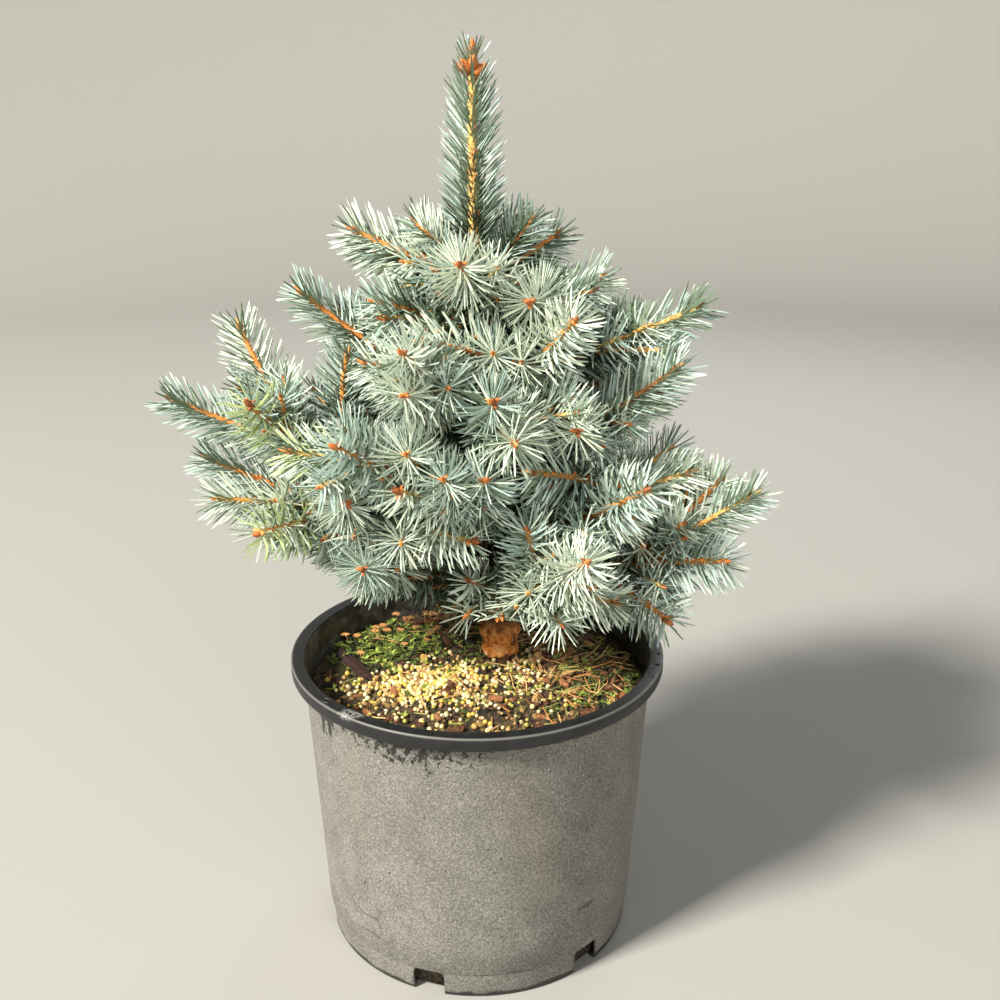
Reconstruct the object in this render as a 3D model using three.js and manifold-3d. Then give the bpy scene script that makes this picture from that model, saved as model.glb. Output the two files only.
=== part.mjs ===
// A young blue spruce in a round nursery pot. Millimetres, +Z up.
// The origin is the middle of the pot's flat underside, and the plant's front faces -Y.

import * as THREE from "three";
import { mergeVertices } from "three/addons/utils/BufferGeometryUtils.js";
import Module from "manifold-3d";

const wasm = await Module();
wasm.setup();

// Pot
const POT_HEIGHT = 225;
const RIM_RADIUS = 140;
const RIM_BAND = 10;
const RIM_FLAT = 9.5;
const WALL_TOP_RADIUS = 131;
const WALL_FOOT_RADIUS = 118;
const WALL_THICKNESS = 2.6;
const FLOOR_THICKNESS = 3;
const FOOT_STEP_HEIGHT = 20;
const FOOT_STEP_DEPTH = 0.8;
const FOOT_ROUND = 2;
const RIM_UNDERSIDE_ROUND = 1.5;
const RIM_EDGE_ROUND = 1.2;
const RIM_INSIDE_FALL = 3;
const POT_SIDES = 48;
const DRAIN_COUNT = 6;
const DRAIN_WIDTH = 23.5;
const DRAIN_HEIGHT = 20;
const DRAIN_DEPTH = 34;
const DRAIN_CORNER = 4;
const DRAIN_FIRST_BEARING = -107;

// Soil: a low mound with small lumps between the trunk's seat and the pot's wall
const SOIL_EDGE_HEIGHT = 199;
const SOIL_CROWN_HEIGHT = 208;
const SOIL_SIDES = 36;
const SOIL_SHRINKAGE = 1;
const SOIL_RING_RADII = [108, 90, 70, 48, 24, 0];
const SEAT_RADIUS = 24;
const SEAT_HEIGHT = 20;
const MOUND_RADIUS = 110;
const LUMP_HEIGHT = 1.6;
const LUMP_SPAN_X = 13;
const LUMP_SPAN_Y = 11;
const LUMP_SHIFT = 0.7;
const LUMP_INNER_RADIUS = 50;
const LUMP_OUTER_RADIUS = 100;
const CLEARANCE = 0.3;

// Trunk: the axis leans a little to the left, with the graft's swelling just above the soil
const TRUNK_FOOT = new THREE.Vector3(17, 25, SOIL_CROWN_HEIGHT + CLEARANCE);
const TRUNK_TOP = new THREE.Vector3(0, 25, 518);
const TRUNK_BOW = 5;
const TRUNK_FOOT_RADIUS = 11;
const TRUNK_TOP_RADIUS = 4.2;
const TRUNK_TAPER = 0.8;
const TRUNK_FOOT_BAND = 2.5;
const FLARE_RADIUS = 4;
const FLARE_HEIGHT = 9;
const GRAFT_RADIUS = 3.4;
const GRAFT_HEIGHT = 20;
const GRAFT_SPREAD = 13;
const TRUNK_SIDES = 12;
const TRUNK_RINGS = 16;
const TRUNK_STRETCHES = 6;

// Leader: the last year's upright growth, from the trunk's tip to the top of the plant
const LEADER_TOP = new THREE.Vector3(-1.5, 25, 645);
const LEADER_BEND = 30;
const LEADER_RADIUS = 4;
const LEADER_COLUMNS = 6;

// Boughs and shoots
const CROWN_X = 8;
const CROWN_Y = 25;
const BOUGH_SIDES = 6;
const BOUGH_RINGS = 2;
const BOUGH_SHARE = 0.27;
const BOUGH_FOOT_RADIUS = 3.9;
const BOUGH_SAG = 0.07;
const STEM_RADIUS = 2.6;
const SHOOT_RADIUS = 1.9;
const SHOOT_TURN = 0.6;
const SHOOT_BEND = 0.45;
const TIP_RADIUS = 1.3;
const BUD_LENGTH = 6;
const AXIS_STEPS = 8;
const STEEPEST = 0.87;

// Needles: each stands out of one cell of its shoot's faceted stem
const NEEDLE_LENGTH = 28.5;
const NEEDLE_VARIETY = 0.16;
const TIP_SHORTENING = 0.32;
const SHORTENING_CURVE = 3;
const NEEDLE_COLUMNS = 5;
const NEEDLE_PITCH = 11.8;
const NEEDLE_TWIST = 23;
const FEWEST_ROWS = 3;
const SPREAD_AT_FOOT = 62;
const SPREAD_AT_TIP = 27;
const SPREAD_CURVE = 1.5;
const BARE_SHARE = 0.2;
const NEEDLE_TEST_SHARES = [0.3, 0.55, 0.8, 1];
const SPACE_MARGIN = 3.2;
const MATE_MARGIN = 0.8;
const LIMB_MARGIN = 1.2;
const POT_MARGIN = 4;
const POT_SIDE_MARGIN = 3;
const SEED = 4107;

// Every bough leaves the trunk at its foot height. Its tip, and the tips of its side shoots,
// stand at a bearing round the crown, a reach out from it and a height above the ground.
// A side shoot starts with the share of the bough's length at which it leaves.
const BOUGHS = [
  { name: "top_left", foot: 500, tip: [180, 94, 531], sides: [[0.4, 154, 66, 522]] },
  { name: "top_front", foot: 489, tip: [-103, 74, 515], sides: [] },
  { name: "top_right", foot: 496, tip: [26, 56, 526], sides: [] },
  { name: "top_back", foot: 487, tip: [103, 78, 514], sides: [[0.4, 68, 66, 508]] },
  { name: "shoulder_left", foot: 476, tip: [-150, 82, 476], sides: [[0.42, 172, 68, 484]] },
  { name: "shoulder_right", foot: 463, tip: [4, 82, 498], sides: [[0.38, -68, 74, 491]] },
  { name: "shoulder_back", foot: 450, tip: [88, 110, 482],
    sides: [[0.4, 50, 96, 482], [0.36, 126, 98, 474]] },
  { name: "left_upper", foot: 400, tip: [-174, 131, 490], sides: [[0.45, 160, 100, 468]] },
  { name: "front_right_upper", foot: 412, tip: [-57, 104, 482], sides: [[0.36, -117, 94, 468]] },
  { name: "front_left_upper", foot: 408, tip: [-114, 128, 467],
    sides: [[0.36, -112, 136, 442], [0.42, -142, 102, 450]] },
  { name: "right_upper", foot: 424, tip: [-3, 150, 479],
    sides: [[0.45, -13, 130, 451], [0.42, 22, 108, 466]] },
  { name: "front", foot: 384, tip: [-88, 126, 438],
    sides: [[0.45, -82, 134, 413], [0.36, -54, 106, 421]] },
  { name: "back_upper_left", foot: 388, tip: [144, 126, 440],
    sides: [[0.42, 116, 114, 444], [0.5, 170, 106, 420]] },
  { name: "back_upper_right", foot: 376, tip: [46, 132, 432],
    sides: [[0.42, 74, 122, 438], [0.45, 18, 112, 416]] },
  { name: "right_middle", foot: 354, tip: [-27, 143, 447],
    sides: [[0.36, -58, 111, 411], [0.42, 3, 126, 412]] },
  { name: "front_left_big", foot: 344, tip: [-127, 157, 409],
    sides: [[0.36, -112, 134, 404], [0.5, -146, 158, 396]] },
  { name: "left_long", foot: 338, tip: [-174, 226, 416],
    sides: [[0.42, -166, 100, 450], [0.52, 177, 180, 463], [0.54, -159, 172, 421]] },
  { name: "back_middle", foot: 330, tip: [96, 166, 394],
    sides: [[0.42, 68, 146, 390], [0.42, 123, 148, 386]] },
  { name: "right_front", foot: 322, tip: [-22, 152, 372],
    sides: [[0.6, -75, 108, 386], [0.45, 8, 140, 368]] },
  { name: "front_low", foot: 326, tip: [-101, 138, 391],
    sides: [[0.45, -90, 128, 388], [0.4, -115, 132, 378]] },
  { name: "right_front_big", foot: 302, tip: [-51, 162, 381], sides: [[0.5, -74, 102, 343]] },
  { name: "left_low", foot: 296, tip: [-173, 204, 373],
    sides: [[0.5, -166, 198, 349], [0.44, -151, 177, 337], [0.4, -134, 134, 362], [0.36, -95, 106, 339]] },
  { name: "back_left_low", foot: 286, tip: [143, 184, 336],
    sides: [[0.42, 167, 162, 322], [0.4, 119, 156, 330], [0.34, 106, 112, 258]] },
  { name: "back_right_low", foot: 272, tip: [44, 174, 328],
    sides: [[0.42, 18, 158, 320], [0.4, 78, 150, 316], [0.34, 82, 112, 264]] },
  { name: "left_lowest", foot: 268, tip: [-169, 138, 318],
    sides: [[0.4, -131, 128, 315], [0.44, 178, 122, 288]] },
  { name: "front_lowest", foot: 282, tip: [-86, 60, 268],
    sides: [[0.38, -102, 64, 293], [0.38, -60, 76, 305]] },
  { name: "front_right_low", foot: 260, tip: [-68, 168, 344],
    sides: [[0.45, -77, 118, 350], [0.42, -51, 138, 295]] },
  { name: "right_long", foot: 246, tip: [-24, 198, 363],
    sides: [[0.55, -19, 172, 366], [0.44, -31, 188, 321], [0.36, -34, 152, 272]] },
];

const COLOURS = {
  pot: 0x8d8c86,
  soil: 0x2b2119,
  bark: 0x7d5a3b,
  needles: 0x9fb9b4,
};

const degrees = THREE.MathUtils.degToRad;

// A seeded source of even numbers from 0 to 1
function seededNumbers(seed) {
  let state = seed >>> 0;
  return () => {
    state = (state + 0x6d2b79f5) >>> 0;
    let mixed = Math.imul(state ^ (state >>> 15), state | 1);
    mixed ^= mixed + Math.imul(mixed ^ (mixed >>> 7), mixed | 61);
    return ((mixed ^ (mixed >>> 14)) >>> 0) / 4294967296;
  };
}

// A point given by its bearing round the crown, its reach and its height
function crownPoint(bearing, reach, height) {
  const angle = degrees(bearing);
  return new THREE.Vector3(CROWN_X + reach * Math.cos(angle), CROWN_Y + reach * Math.sin(angle), height);
}

// Closed geometry made of its shared points, without the flat triangles at a pole
function closedGeometry(geometry) {
  geometry.deleteAttribute("normal");
  geometry.deleteAttribute("uv");
  const merged = mergeVertices(geometry, 1e-4);
  const corners = merged.getIndex().array;
  const kept = [];
  for (let i = 0; i < corners.length; i += 3) {
    const [a, b, c] = corners.slice(i, i + 3);
    if (a !== b && b !== c && c !== a) {
      kept.push(a, b, c);
    }
  }
  merged.setIndex(kept);
  return merged;
}

function toSolid(geometry) {
  const closed = closedGeometry(geometry);
  return new wasm.Manifold(new wasm.Mesh({
    numProp: 3,
    vertProperties: new Float32Array(closed.getAttribute("position").array),
    triVerts: new Uint32Array(closed.getIndex().array),
  }));
}

function toGeometry(solid) {
  const mesh = solid.getMesh();
  const geometry = new THREE.BufferGeometry();
  geometry.setAttribute("position", new THREE.BufferAttribute(new Float32Array(mesh.vertProperties), 3));
  geometry.setIndex([...mesh.triVerts]);
  geometry.computeVertexNormals();
  return geometry;
}

// The largest body of a solid, without loose scraps
function largestBody(solid) {
  const bodies = solid.decompose();
  bodies.sort((a, b) => b.volume() - a.volume());
  return bodies[0];
}

// A turned solid about +Z from a profile of [radius, height] that starts and ends on the axis
function turned(profile, sides) {
  const points = profile.map(([radius, height]) => new THREE.Vector2(radius, height));
  const geometry = new THREE.LatheGeometry(points, sides);
  geometry.rotateX(Math.PI / 2);
  return geometry;
}

function wallRadius(height) {
  return THREE.MathUtils.mapLinear(height, 0, POT_HEIGHT - RIM_BAND, WALL_FOOT_RADIUS, WALL_TOP_RADIUS);
}

function potSolid() {
  const rimFoot = POT_HEIGHT - RIM_BAND;
  const inside = (height) => wallRadius(height) - WALL_THICKNESS;
  let pot = toSolid(turned([
    [0, 0],
    [WALL_FOOT_RADIUS - FOOT_ROUND, 0],
    [WALL_FOOT_RADIUS, FOOT_ROUND],
    [wallRadius(FOOT_STEP_HEIGHT), FOOT_STEP_HEIGHT],
    [wallRadius(FOOT_STEP_HEIGHT) + FOOT_STEP_DEPTH, FOOT_STEP_HEIGHT + 1],
    [WALL_TOP_RADIUS, rimFoot - RIM_UNDERSIDE_ROUND],
    [RIM_RADIUS - RIM_UNDERSIDE_ROUND, rimFoot],
    [RIM_RADIUS, rimFoot + RIM_UNDERSIDE_ROUND],
    [RIM_RADIUS, POT_HEIGHT - RIM_EDGE_ROUND],
    [RIM_RADIUS - RIM_EDGE_ROUND, POT_HEIGHT],
    [RIM_RADIUS - RIM_FLAT, POT_HEIGHT],
    [inside(rimFoot), POT_HEIGHT - RIM_INSIDE_FALL],
    [inside(FLOOR_THICKNESS), FLOOR_THICKNESS],
    [0, FLOOR_THICKNESS],
  ], POT_SIDES));
  for (let i = 0; i < DRAIN_COUNT; i += 1) {
    pot = pot.subtract(drainCut(DRAIN_FIRST_BEARING + (360 / DRAIN_COUNT) * i));
  }
  return pot;
}

// A drain notch with round upper corners through the wall's foot and the floor's edge
function drainCut(bearing) {
  const half = DRAIN_WIDTH / 2;
  const outline = new THREE.Shape();
  outline.moveTo(-half, -1);
  outline.lineTo(half, -1);
  outline.lineTo(half, DRAIN_HEIGHT - DRAIN_CORNER);
  outline.quadraticCurveTo(half, DRAIN_HEIGHT, half - DRAIN_CORNER, DRAIN_HEIGHT);
  outline.lineTo(DRAIN_CORNER - half, DRAIN_HEIGHT);
  outline.quadraticCurveTo(-half, DRAIN_HEIGHT, -half, DRAIN_HEIGHT - DRAIN_CORNER);
  outline.closePath();
  const sizes = { depth: DRAIN_DEPTH, bevelEnabled: false, curveSegments: 3 };
  const cut = new THREE.ExtrudeGeometry(outline, sizes);
  cut.rotateX(Math.PI / 2);
  cut.translate(0, -(WALL_FOOT_RADIUS - DRAIN_DEPTH / 2), 0);
  cut.rotateZ(degrees(bearing + 90));
  return toSolid(cut);
}

// Height of the soil's lumpy top, a low mound that is flat under the trunk's foot
function soilHeight(x, y, radius) {
  const fromTrunk = Math.hypot(x - TRUNK_FOOT.x, y - TRUNK_FOOT.y);
  const fall = THREE.MathUtils.smoothstep(fromTrunk, SEAT_RADIUS, MOUND_RADIUS);
  const rise = THREE.MathUtils.smoothstep(fromTrunk, SEAT_RADIUS, LUMP_INNER_RADIUS);
  const wall = wallRadius(SOIL_EDGE_HEIGHT) - WALL_THICKNESS;
  const edge = THREE.MathUtils.smoothstep(radius, LUMP_OUTER_RADIUS, wall);
  const lumps = LUMP_HEIGHT * Math.sin(x / LUMP_SPAN_X + LUMP_SHIFT) * Math.cos(y / LUMP_SPAN_Y);
  return THREE.MathUtils.lerp(SOIL_CROWN_HEIGHT, SOIL_EDGE_HEIGHT, fall) + lumps * rise * (1 - edge);
}

function soilSolid() {
  const side = (height) => wallRadius(height) - WALL_THICKNESS - SOIL_SHRINKAGE;
  const geometry = turned([
    [0, FLOOR_THICKNESS + CLEARANCE],
    [side(FLOOR_THICKNESS), FLOOR_THICKNESS + CLEARANCE],
    [side(SOIL_EDGE_HEIGHT), SOIL_EDGE_HEIGHT],
    ...SOIL_RING_RADII.map((radius) => [radius, SOIL_CROWN_HEIGHT]),
  ], SOIL_SIDES);
  const place = geometry.getAttribute("position");
  for (let i = 0; i < place.count; i += 1) {
    const radius = Math.hypot(place.getX(i), place.getY(i));
    if (place.getZ(i) > SOIL_EDGE_HEIGHT - CLEARANCE) {
      place.setZ(i, soilHeight(place.getX(i), place.getY(i), radius));
    }
  }
  return toSolid(geometry).subtract(footSeat());
}

// The space that the trunk's foot stands in
function footSeat() {
  const seat = new THREE.CylinderGeometry(SEAT_RADIUS, SEAT_RADIUS, SEAT_HEIGHT, TRUNK_SIDES * 2);
  seat.rotateX(Math.PI / 2);
  seat.translate(TRUNK_FOOT.x, TRUNK_FOOT.y, SOIL_CROWN_HEIGHT + SEAT_HEIGHT / 2);
  return toSolid(seat);
}

// A cylinder bent along a curve from one share of it to another, with its radius at each share
function bent(curve, from, to, radiusAt, sides, rings) {
  const geometry = new THREE.CylinderGeometry(1, 1, 1, sides, rings);
  const place = geometry.getAttribute("position");
  const at = new THREE.Vector3();
  for (let i = 0; i < place.count; i += 1) {
    const share = THREE.MathUtils.lerp(from, to, place.getY(i) + 0.5);
    const { point, across, up } = frameAt(curve, share);
    const radius = radiusAt(share);
    at.copy(point).addScaledVector(across, place.getX(i) * radius);
    at.addScaledVector(up, -place.getZ(i) * radius);
    place.setXYZ(i, at.x, at.y, at.z);
  }
  return geometry;
}

// The first of +Z, +Y and +X that no stretch of a curve runs close to
function sightLine(curve) {
  const tangents = [0, 0.5, 1].map((share) => curve.getTangent(share));
  const lines = [new THREE.Vector3(0, 0, 1), new THREE.Vector3(0, 1, 0), new THREE.Vector3(1, 0, 0)];
  const isClear = (line) => tangents.every((tangent) => Math.abs(tangent.dot(line)) < STEEPEST);
  return lines.find(isClear) ?? lines[2];
}

// The point, the direction and two square directions at a share of a curve
function frameAt(curve, share) {
  const point = curve.getPoint(share);
  const along = curve.getTangent(share);
  const across = new THREE.Vector3().crossVectors(sightLine(curve), along).normalize();
  const up = new THREE.Vector3().crossVectors(along, across);
  return { point, along, across, up };
}

function trunkCurve() {
  const middle = TRUNK_FOOT.clone().lerp(TRUNK_TOP, 0.5);
  middle.x += TRUNK_BOW;
  return new THREE.QuadraticBezierCurve3(TRUNK_FOOT, middle, TRUNK_TOP);
}

function trunkRadius(share) {
  const rise = share * (TRUNK_TOP.z - TRUNK_FOOT.z);
  const taper = THREE.MathUtils.lerp(TRUNK_FOOT_RADIUS, TRUNK_TOP_RADIUS, share ** TRUNK_TAPER);
  const flare = FLARE_RADIUS * Math.exp(-rise / FLARE_HEIGHT);
  const graft = GRAFT_RADIUS * Math.exp(-(((rise - GRAFT_HEIGHT) / GRAFT_SPREAD) ** 2));
  return taper + flare + graft;
}

// The trunk, grown by an extra thickness, with its foot cut flat
function trunkSolid(extra) {
  const curve = trunkCurve();
  const geometry = bent(curve, 0, 1, (share) => trunkRadius(share) + extra, TRUNK_SIDES, TRUNK_RINGS);
  const place = geometry.getAttribute("position");
  for (let i = 0; i < place.count; i += 1) {
    if (place.getZ(i) < TRUNK_FOOT.z + TRUNK_FOOT_BAND) {
      place.setZ(i, TRUNK_FOOT.z);
    }
  }
  return toSolid(geometry);
}

// A bough rises in one curve from the trunk's axis to its tip
function boughCurve(bough) {
  const trunk = trunkCurve();
  const share = (bough.foot - TRUNK_FOOT.z) / (TRUNK_TOP.z - TRUNK_FOOT.z);
  const foot = trunk.getPoint(share);
  const tip = crownPoint(...bough.tip);
  const middle = foot.clone().lerp(tip, 0.5);
  middle.z -= BOUGH_SAG * foot.distanceTo(tip);
  return new THREE.QuadraticBezierCurve3(foot, middle, tip);
}

// A side shoot leaves its bough partly along it and bends out to its own tip
function sideCurve(parent, [share, bearing, reach, height]) {
  const foot = parent.getPoint(share);
  const tip = crownPoint(bearing, reach, height);
  const length = foot.distanceTo(tip);
  const straight = tip.clone().sub(foot).normalize();
  const lean = parent.getTangent(share).lerp(straight, SHOOT_TURN).normalize();
  const middle = foot.clone().addScaledVector(lean, length * SHOOT_BEND);
  return new THREE.QuadraticBezierCurve3(foot, middle, tip);
}

// The shoots of one mass: its stem, which goes on from the bough, and its side shoots
function shootsOf(bough) {
  const stem = boughCurve(bough);
  const clear = (BOUGH_SHARE * stem.getLength() + CLEARANCE) / stem.getLength();
  const shoots = [{ curve: stem, from: clear, bare: clear, radius: STEM_RADIUS }];
  for (const side of bough.sides) {
    shoots.push({ curve: sideCurve(stem, side), from: 0, bare: BARE_SHARE, radius: SHOOT_RADIUS });
  }
  return shoots;
}

// The leader goes on from the trunk's tip in the trunk's own direction and then stands upright
function leaderShoots() {
  const along = trunkCurve().getTangent(1);
  const foot = TRUNK_TOP.clone().addScaledVector(along, CLEARANCE);
  const middle = foot.clone().addScaledVector(along, LEADER_BEND);
  const curve = new THREE.QuadraticBezierCurve3(foot, middle, LEADER_TOP);
  return [{ curve, from: 0, bare: 0, radius: LEADER_RADIUS, columns: LEADER_COLUMNS }];
}

// Points along a shoot or limb, for measuring how near something comes to it
function axisPoints(curve, from, to, count) {
  const points = [];
  for (let i = 0; i <= count; i += 1) {
    points.push(curve.getPoint(THREE.MathUtils.lerp(from, to, i / count)));
  }
  return points;
}

const nearest = new THREE.Vector3();
const span = new THREE.Line3();

function distanceToAxis(point, axis) {
  let least = Infinity;
  for (let i = 1; i < axis.length; i += 1) {
    span.set(axis[i - 1], axis[i]);
    span.closestPointToPoint(point, true, nearest);
    least = Math.min(least, nearest.distanceTo(point));
  }
  return least;
}

// The limbs that needles keep clear of, each with its radius
function limbAxes() {
  const limbs = [];
  for (let i = 0; i < TRUNK_STRETCHES; i += 1) {
    const [from, to] = [i / TRUNK_STRETCHES, (i + 1) / TRUNK_STRETCHES];
    limbs.push({ axis: axisPoints(trunkCurve(), from, to, 2), radius: trunkRadius(from) });
  }
  for (const bough of BOUGHS) {
    limbs.push({ axis: axisPoints(boughCurve(bough), 0, BOUGH_SHARE, 3), radius: BOUGH_FOOT_RADIUS });
  }
  return limbs;
}

// Whether a point is clear of the pot's rim and wall and of the soil
function clearOfPot(point) {
  const radius = Math.hypot(point.x, point.y);
  if (radius < RIM_RADIUS - RIM_FLAT - POT_MARGIN) {
    return point.z > SOIL_CROWN_HEIGHT + POT_MARGIN;
  }
  return radius > RIM_RADIUS + POT_SIDE_MARGIN || point.z > POT_HEIGHT + POT_MARGIN;
}

// A test of whether a needle stays nearer to its own shoot than to any other, by more where the
// other is in another mass, and stays off the limbs, the pot and the soil
function spaceTest(shoot, mates, others, limbs) {
  return (foot, tip) => {
    const point = new THREE.Vector3();
    const isPast = (axis, distance) => distanceToAxis(point, axis) > distance;
    return NEEDLE_TEST_SHARES.every((share) => {
      point.copy(foot).lerp(tip, share);
      const own = distanceToAxis(point, shoot.axis);
      return clearOfPot(point)
        && mates.every((mate) => isPast(mate.axis, own + MATE_MARGIN))
        && others.every((other) => isPast(other.axis, own + SPACE_MARGIN))
        && limbs.every((limb) => isPast(limb.axis, limb.radius + LIMB_MARGIN));
    });
  };
}

// A shoot as a faceted stem that ends in a bud. Each cell of its bare part is flat, and each
// cell beyond that is drawn out into a needle, spread wide at the foot and forward at the tip.
function shootSolid(shoot, keeps, random) {
  const columns = shoot.columns ?? NEEDLE_COLUMNS;
  const stops = ringShares(shoot);
  const rows = stops.length - 1;
  const places = [];
  const corners = [];
  const addPoint = (point) => places.push(point.x, point.y, point.z) / 3 - 1;
  const addFace = (a, b, c) => corners.push(a, b, c);
  const rings = [];
  for (const [row, share] of stops.entries()) {
    rings.push(ringPoints(shoot, share, row, columns).map(addPoint));
  }
  const foot = addPoint(frameAt(shoot.curve, shoot.from).point);
  const end = frameAt(shoot.curve, 1);
  const bud = addPoint(end.point.clone().addScaledVector(end.along, BUD_LENGTH));
  for (let column = 0; column < columns; column += 1) {
    const next = (column + 1) % columns;
    addFace(foot, rings[0][next], rings[0][column]);
    addFace(bud, rings[rows][column], rings[rows][next]);
    for (let row = 0; row < rows; row += 1) {
      const cell = [rings[row][column], rings[row][next], rings[row + 1][next], rings[row + 1][column]];
      const share = (stops[row] + stops[row + 1]) / 2;
      const needle = needleAt(shoot, share, row, column, columns, random);
      if (share > shoot.bare && keeps(needle.foot, needle.tip)) {
        const tip = addPoint(needle.tip);
        cell.forEach((corner, i) => addFace(corner, cell[(i + 1) % 4], tip));
      } else {
        addFace(cell[0], cell[1], cell[2]);
        addFace(cell[0], cell[2], cell[3]);
      }
    }
  }
  const geometry = new THREE.BufferGeometry();
  geometry.setAttribute("position", new THREE.BufferAttribute(new Float32Array(places), 3));
  geometry.setIndex(corners);
  return toSolid(geometry);
}

// The shares of a shoot at which its stem has a ring of corners: its start, the end of its bare
// part, and then one for each row of needles
function ringShares(shoot) {
  const needled = shoot.curve.getLength() * (1 - shoot.bare);
  const rows = Math.max(FEWEST_ROWS, Math.round(needled / NEEDLE_PITCH));
  const stops = shoot.bare > shoot.from ? [shoot.from] : [];
  for (let row = 0; row <= rows; row += 1) {
    stops.push(THREE.MathUtils.lerp(shoot.bare, 1, row / rows));
  }
  return stops;
}

// The corners of one ring of a shoot's stem, turned a little further on each row
function ringPoints(shoot, share, row, columns) {
  const { point, across, up } = frameAt(shoot.curve, share);
  const radius = THREE.MathUtils.lerp(shoot.radius, TIP_RADIUS, share);
  return [...Array(columns).keys()].map((column) => {
    const angle = (column / columns) * 2 * Math.PI + degrees(NEEDLE_TWIST) * row;
    return point.clone()
      .addScaledVector(across, radius * Math.cos(angle))
      .addScaledVector(up, radius * Math.sin(angle));
  });
}

// The foot and tip of the needle in the middle of one cell
function needleAt(shoot, share, row, column, columns, random) {
  const { point, along, across, up } = frameAt(shoot.curve, share);
  const angle = ((column + 0.5) / columns) * 2 * Math.PI + degrees(NEEDLE_TWIST) * (row + 0.5);
  const out = across.clone().multiplyScalar(Math.cos(angle)).addScaledVector(up, Math.sin(angle));
  const spread = degrees(THREE.MathUtils.lerp(SPREAD_AT_FOOT, SPREAD_AT_TIP, share ** SPREAD_CURVE));
  const full = NEEDLE_LENGTH * (1 - TIP_SHORTENING * share ** SHORTENING_CURVE);
  const length = full * (1 + NEEDLE_VARIETY * (random() - 0.5));
  const way = out.clone().multiplyScalar(Math.sin(spread)).addScaledVector(along, Math.cos(spread));
  const foot = point.clone().addScaledVector(out, shoot.radius);
  return { foot, tip: foot.clone().addScaledVector(way, length) };
}

// One mass of foliage: its stem and side shoots joined, less any scrap
function foliageSolid(mass, others, limbs, random) {
  const solids = mass.shoots.map((shoot) => {
    const mates = mass.shoots.filter((mate) => mate !== shoot);
    return shootSolid(shoot, spaceTest(shoot, mates, others, limbs), random);
  });
  return largestBody(solids.reduce((whole, solid) => whole.add(solid)));
}

// One tapering limb, from the trunk's bark to the foot of its mass
function boughSolid(bough, trunkRoom) {
  const curve = boughCurve(bough);
  const radiusAt = (share) => THREE.MathUtils.lerp(BOUGH_FOOT_RADIUS, STEM_RADIUS, share / BOUGH_SHARE);
  const limb = toSolid(bent(curve, 0, BOUGH_SHARE, radiusAt, BOUGH_SIDES, BOUGH_RINGS));
  return largestBody(limb.subtract(trunkRoom));
}

const finishes = {
  pot: new THREE.MeshStandardMaterial({ color: COLOURS.pot, roughness: 0.85, metalness: 0 }),
  soil: new THREE.MeshStandardMaterial({ color: COLOURS.soil, roughness: 1, metalness: 0 }),
  bark: new THREE.MeshStandardMaterial({ color: COLOURS.bark, roughness: 0.9, metalness: 0 }),
  needles: new THREE.MeshStandardMaterial({ color: COLOURS.needles, roughness: 0.6, metalness: 0 }),
};

function named(name, solid, finish) {
  const mesh = new THREE.Mesh(toGeometry(solid), finish);
  mesh.name = name;
  return mesh;
}

const spruce = new THREE.Group();
spruce.add(named("pot", potSolid(), finishes.pot));
spruce.add(named("soil", soilSolid(), finishes.soil));
spruce.add(named("trunk", trunkSolid(0), finishes.bark));

const random = seededNumbers(SEED);
const limbs = limbAxes();
const masses = [{ name: "leader", shoots: leaderShoots() }];
for (const bough of BOUGHS) {
  masses.push({ name: bough.name, shoots: shootsOf(bough) });
}
for (const shoot of masses.flatMap((mass) => mass.shoots)) {
  shoot.axis = axisPoints(shoot.curve, shoot.from, 1, AXIS_STEPS);
}

const trunkRoom = trunkSolid(CLEARANCE);
for (const bough of BOUGHS) {
  spruce.add(named(`bough_${bough.name}`, boughSolid(bough, trunkRoom), finishes.bark));
}
for (const mass of masses) {
  const others = masses.filter((other) => other !== mass).flatMap((other) => other.shoots);
  spruce.add(named(`foliage_${mass.name}`, foliageSolid(mass, others, limbs, random), finishes.needles));
}

export default spruce;
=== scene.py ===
"""A potted young blue spruce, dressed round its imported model.

The pot, the potting mix and what lies on it, the bark of trunk and boughs, and every shoot with
its needles and buds are built in metres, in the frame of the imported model: +Z is up, the origin
is the middle of the pot's flat underside, and the plant's front faces -Y.
"""

import logging
import math
from collections.abc import Sequence
from dataclasses import dataclass, field
from enum import Enum
from typing import Any

import bmesh
import bpy
import numpy as np
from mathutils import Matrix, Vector, noise


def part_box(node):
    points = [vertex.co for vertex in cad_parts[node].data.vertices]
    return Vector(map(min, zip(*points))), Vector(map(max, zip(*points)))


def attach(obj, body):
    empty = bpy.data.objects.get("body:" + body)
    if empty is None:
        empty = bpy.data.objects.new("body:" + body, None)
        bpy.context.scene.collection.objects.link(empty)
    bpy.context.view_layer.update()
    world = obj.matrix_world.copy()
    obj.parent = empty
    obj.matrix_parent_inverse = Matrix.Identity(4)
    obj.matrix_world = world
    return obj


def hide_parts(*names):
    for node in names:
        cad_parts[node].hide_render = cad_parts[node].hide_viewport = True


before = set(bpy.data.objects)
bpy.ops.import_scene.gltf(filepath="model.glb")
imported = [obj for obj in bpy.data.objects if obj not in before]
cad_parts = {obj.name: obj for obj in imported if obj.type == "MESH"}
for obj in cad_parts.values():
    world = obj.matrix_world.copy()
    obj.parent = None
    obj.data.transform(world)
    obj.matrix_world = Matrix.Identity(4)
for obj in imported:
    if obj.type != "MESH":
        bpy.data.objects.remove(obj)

log = logging.getLogger("spruce")

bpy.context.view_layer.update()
BODY = "root"
MM = 0.001
UP = np.array([0.0, 0.0, 1.0])

Colour = tuple[float, float, float]
Array = np.ndarray
Socket = bpy.types.NodeSocket
Material = bpy.types.Material


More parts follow.
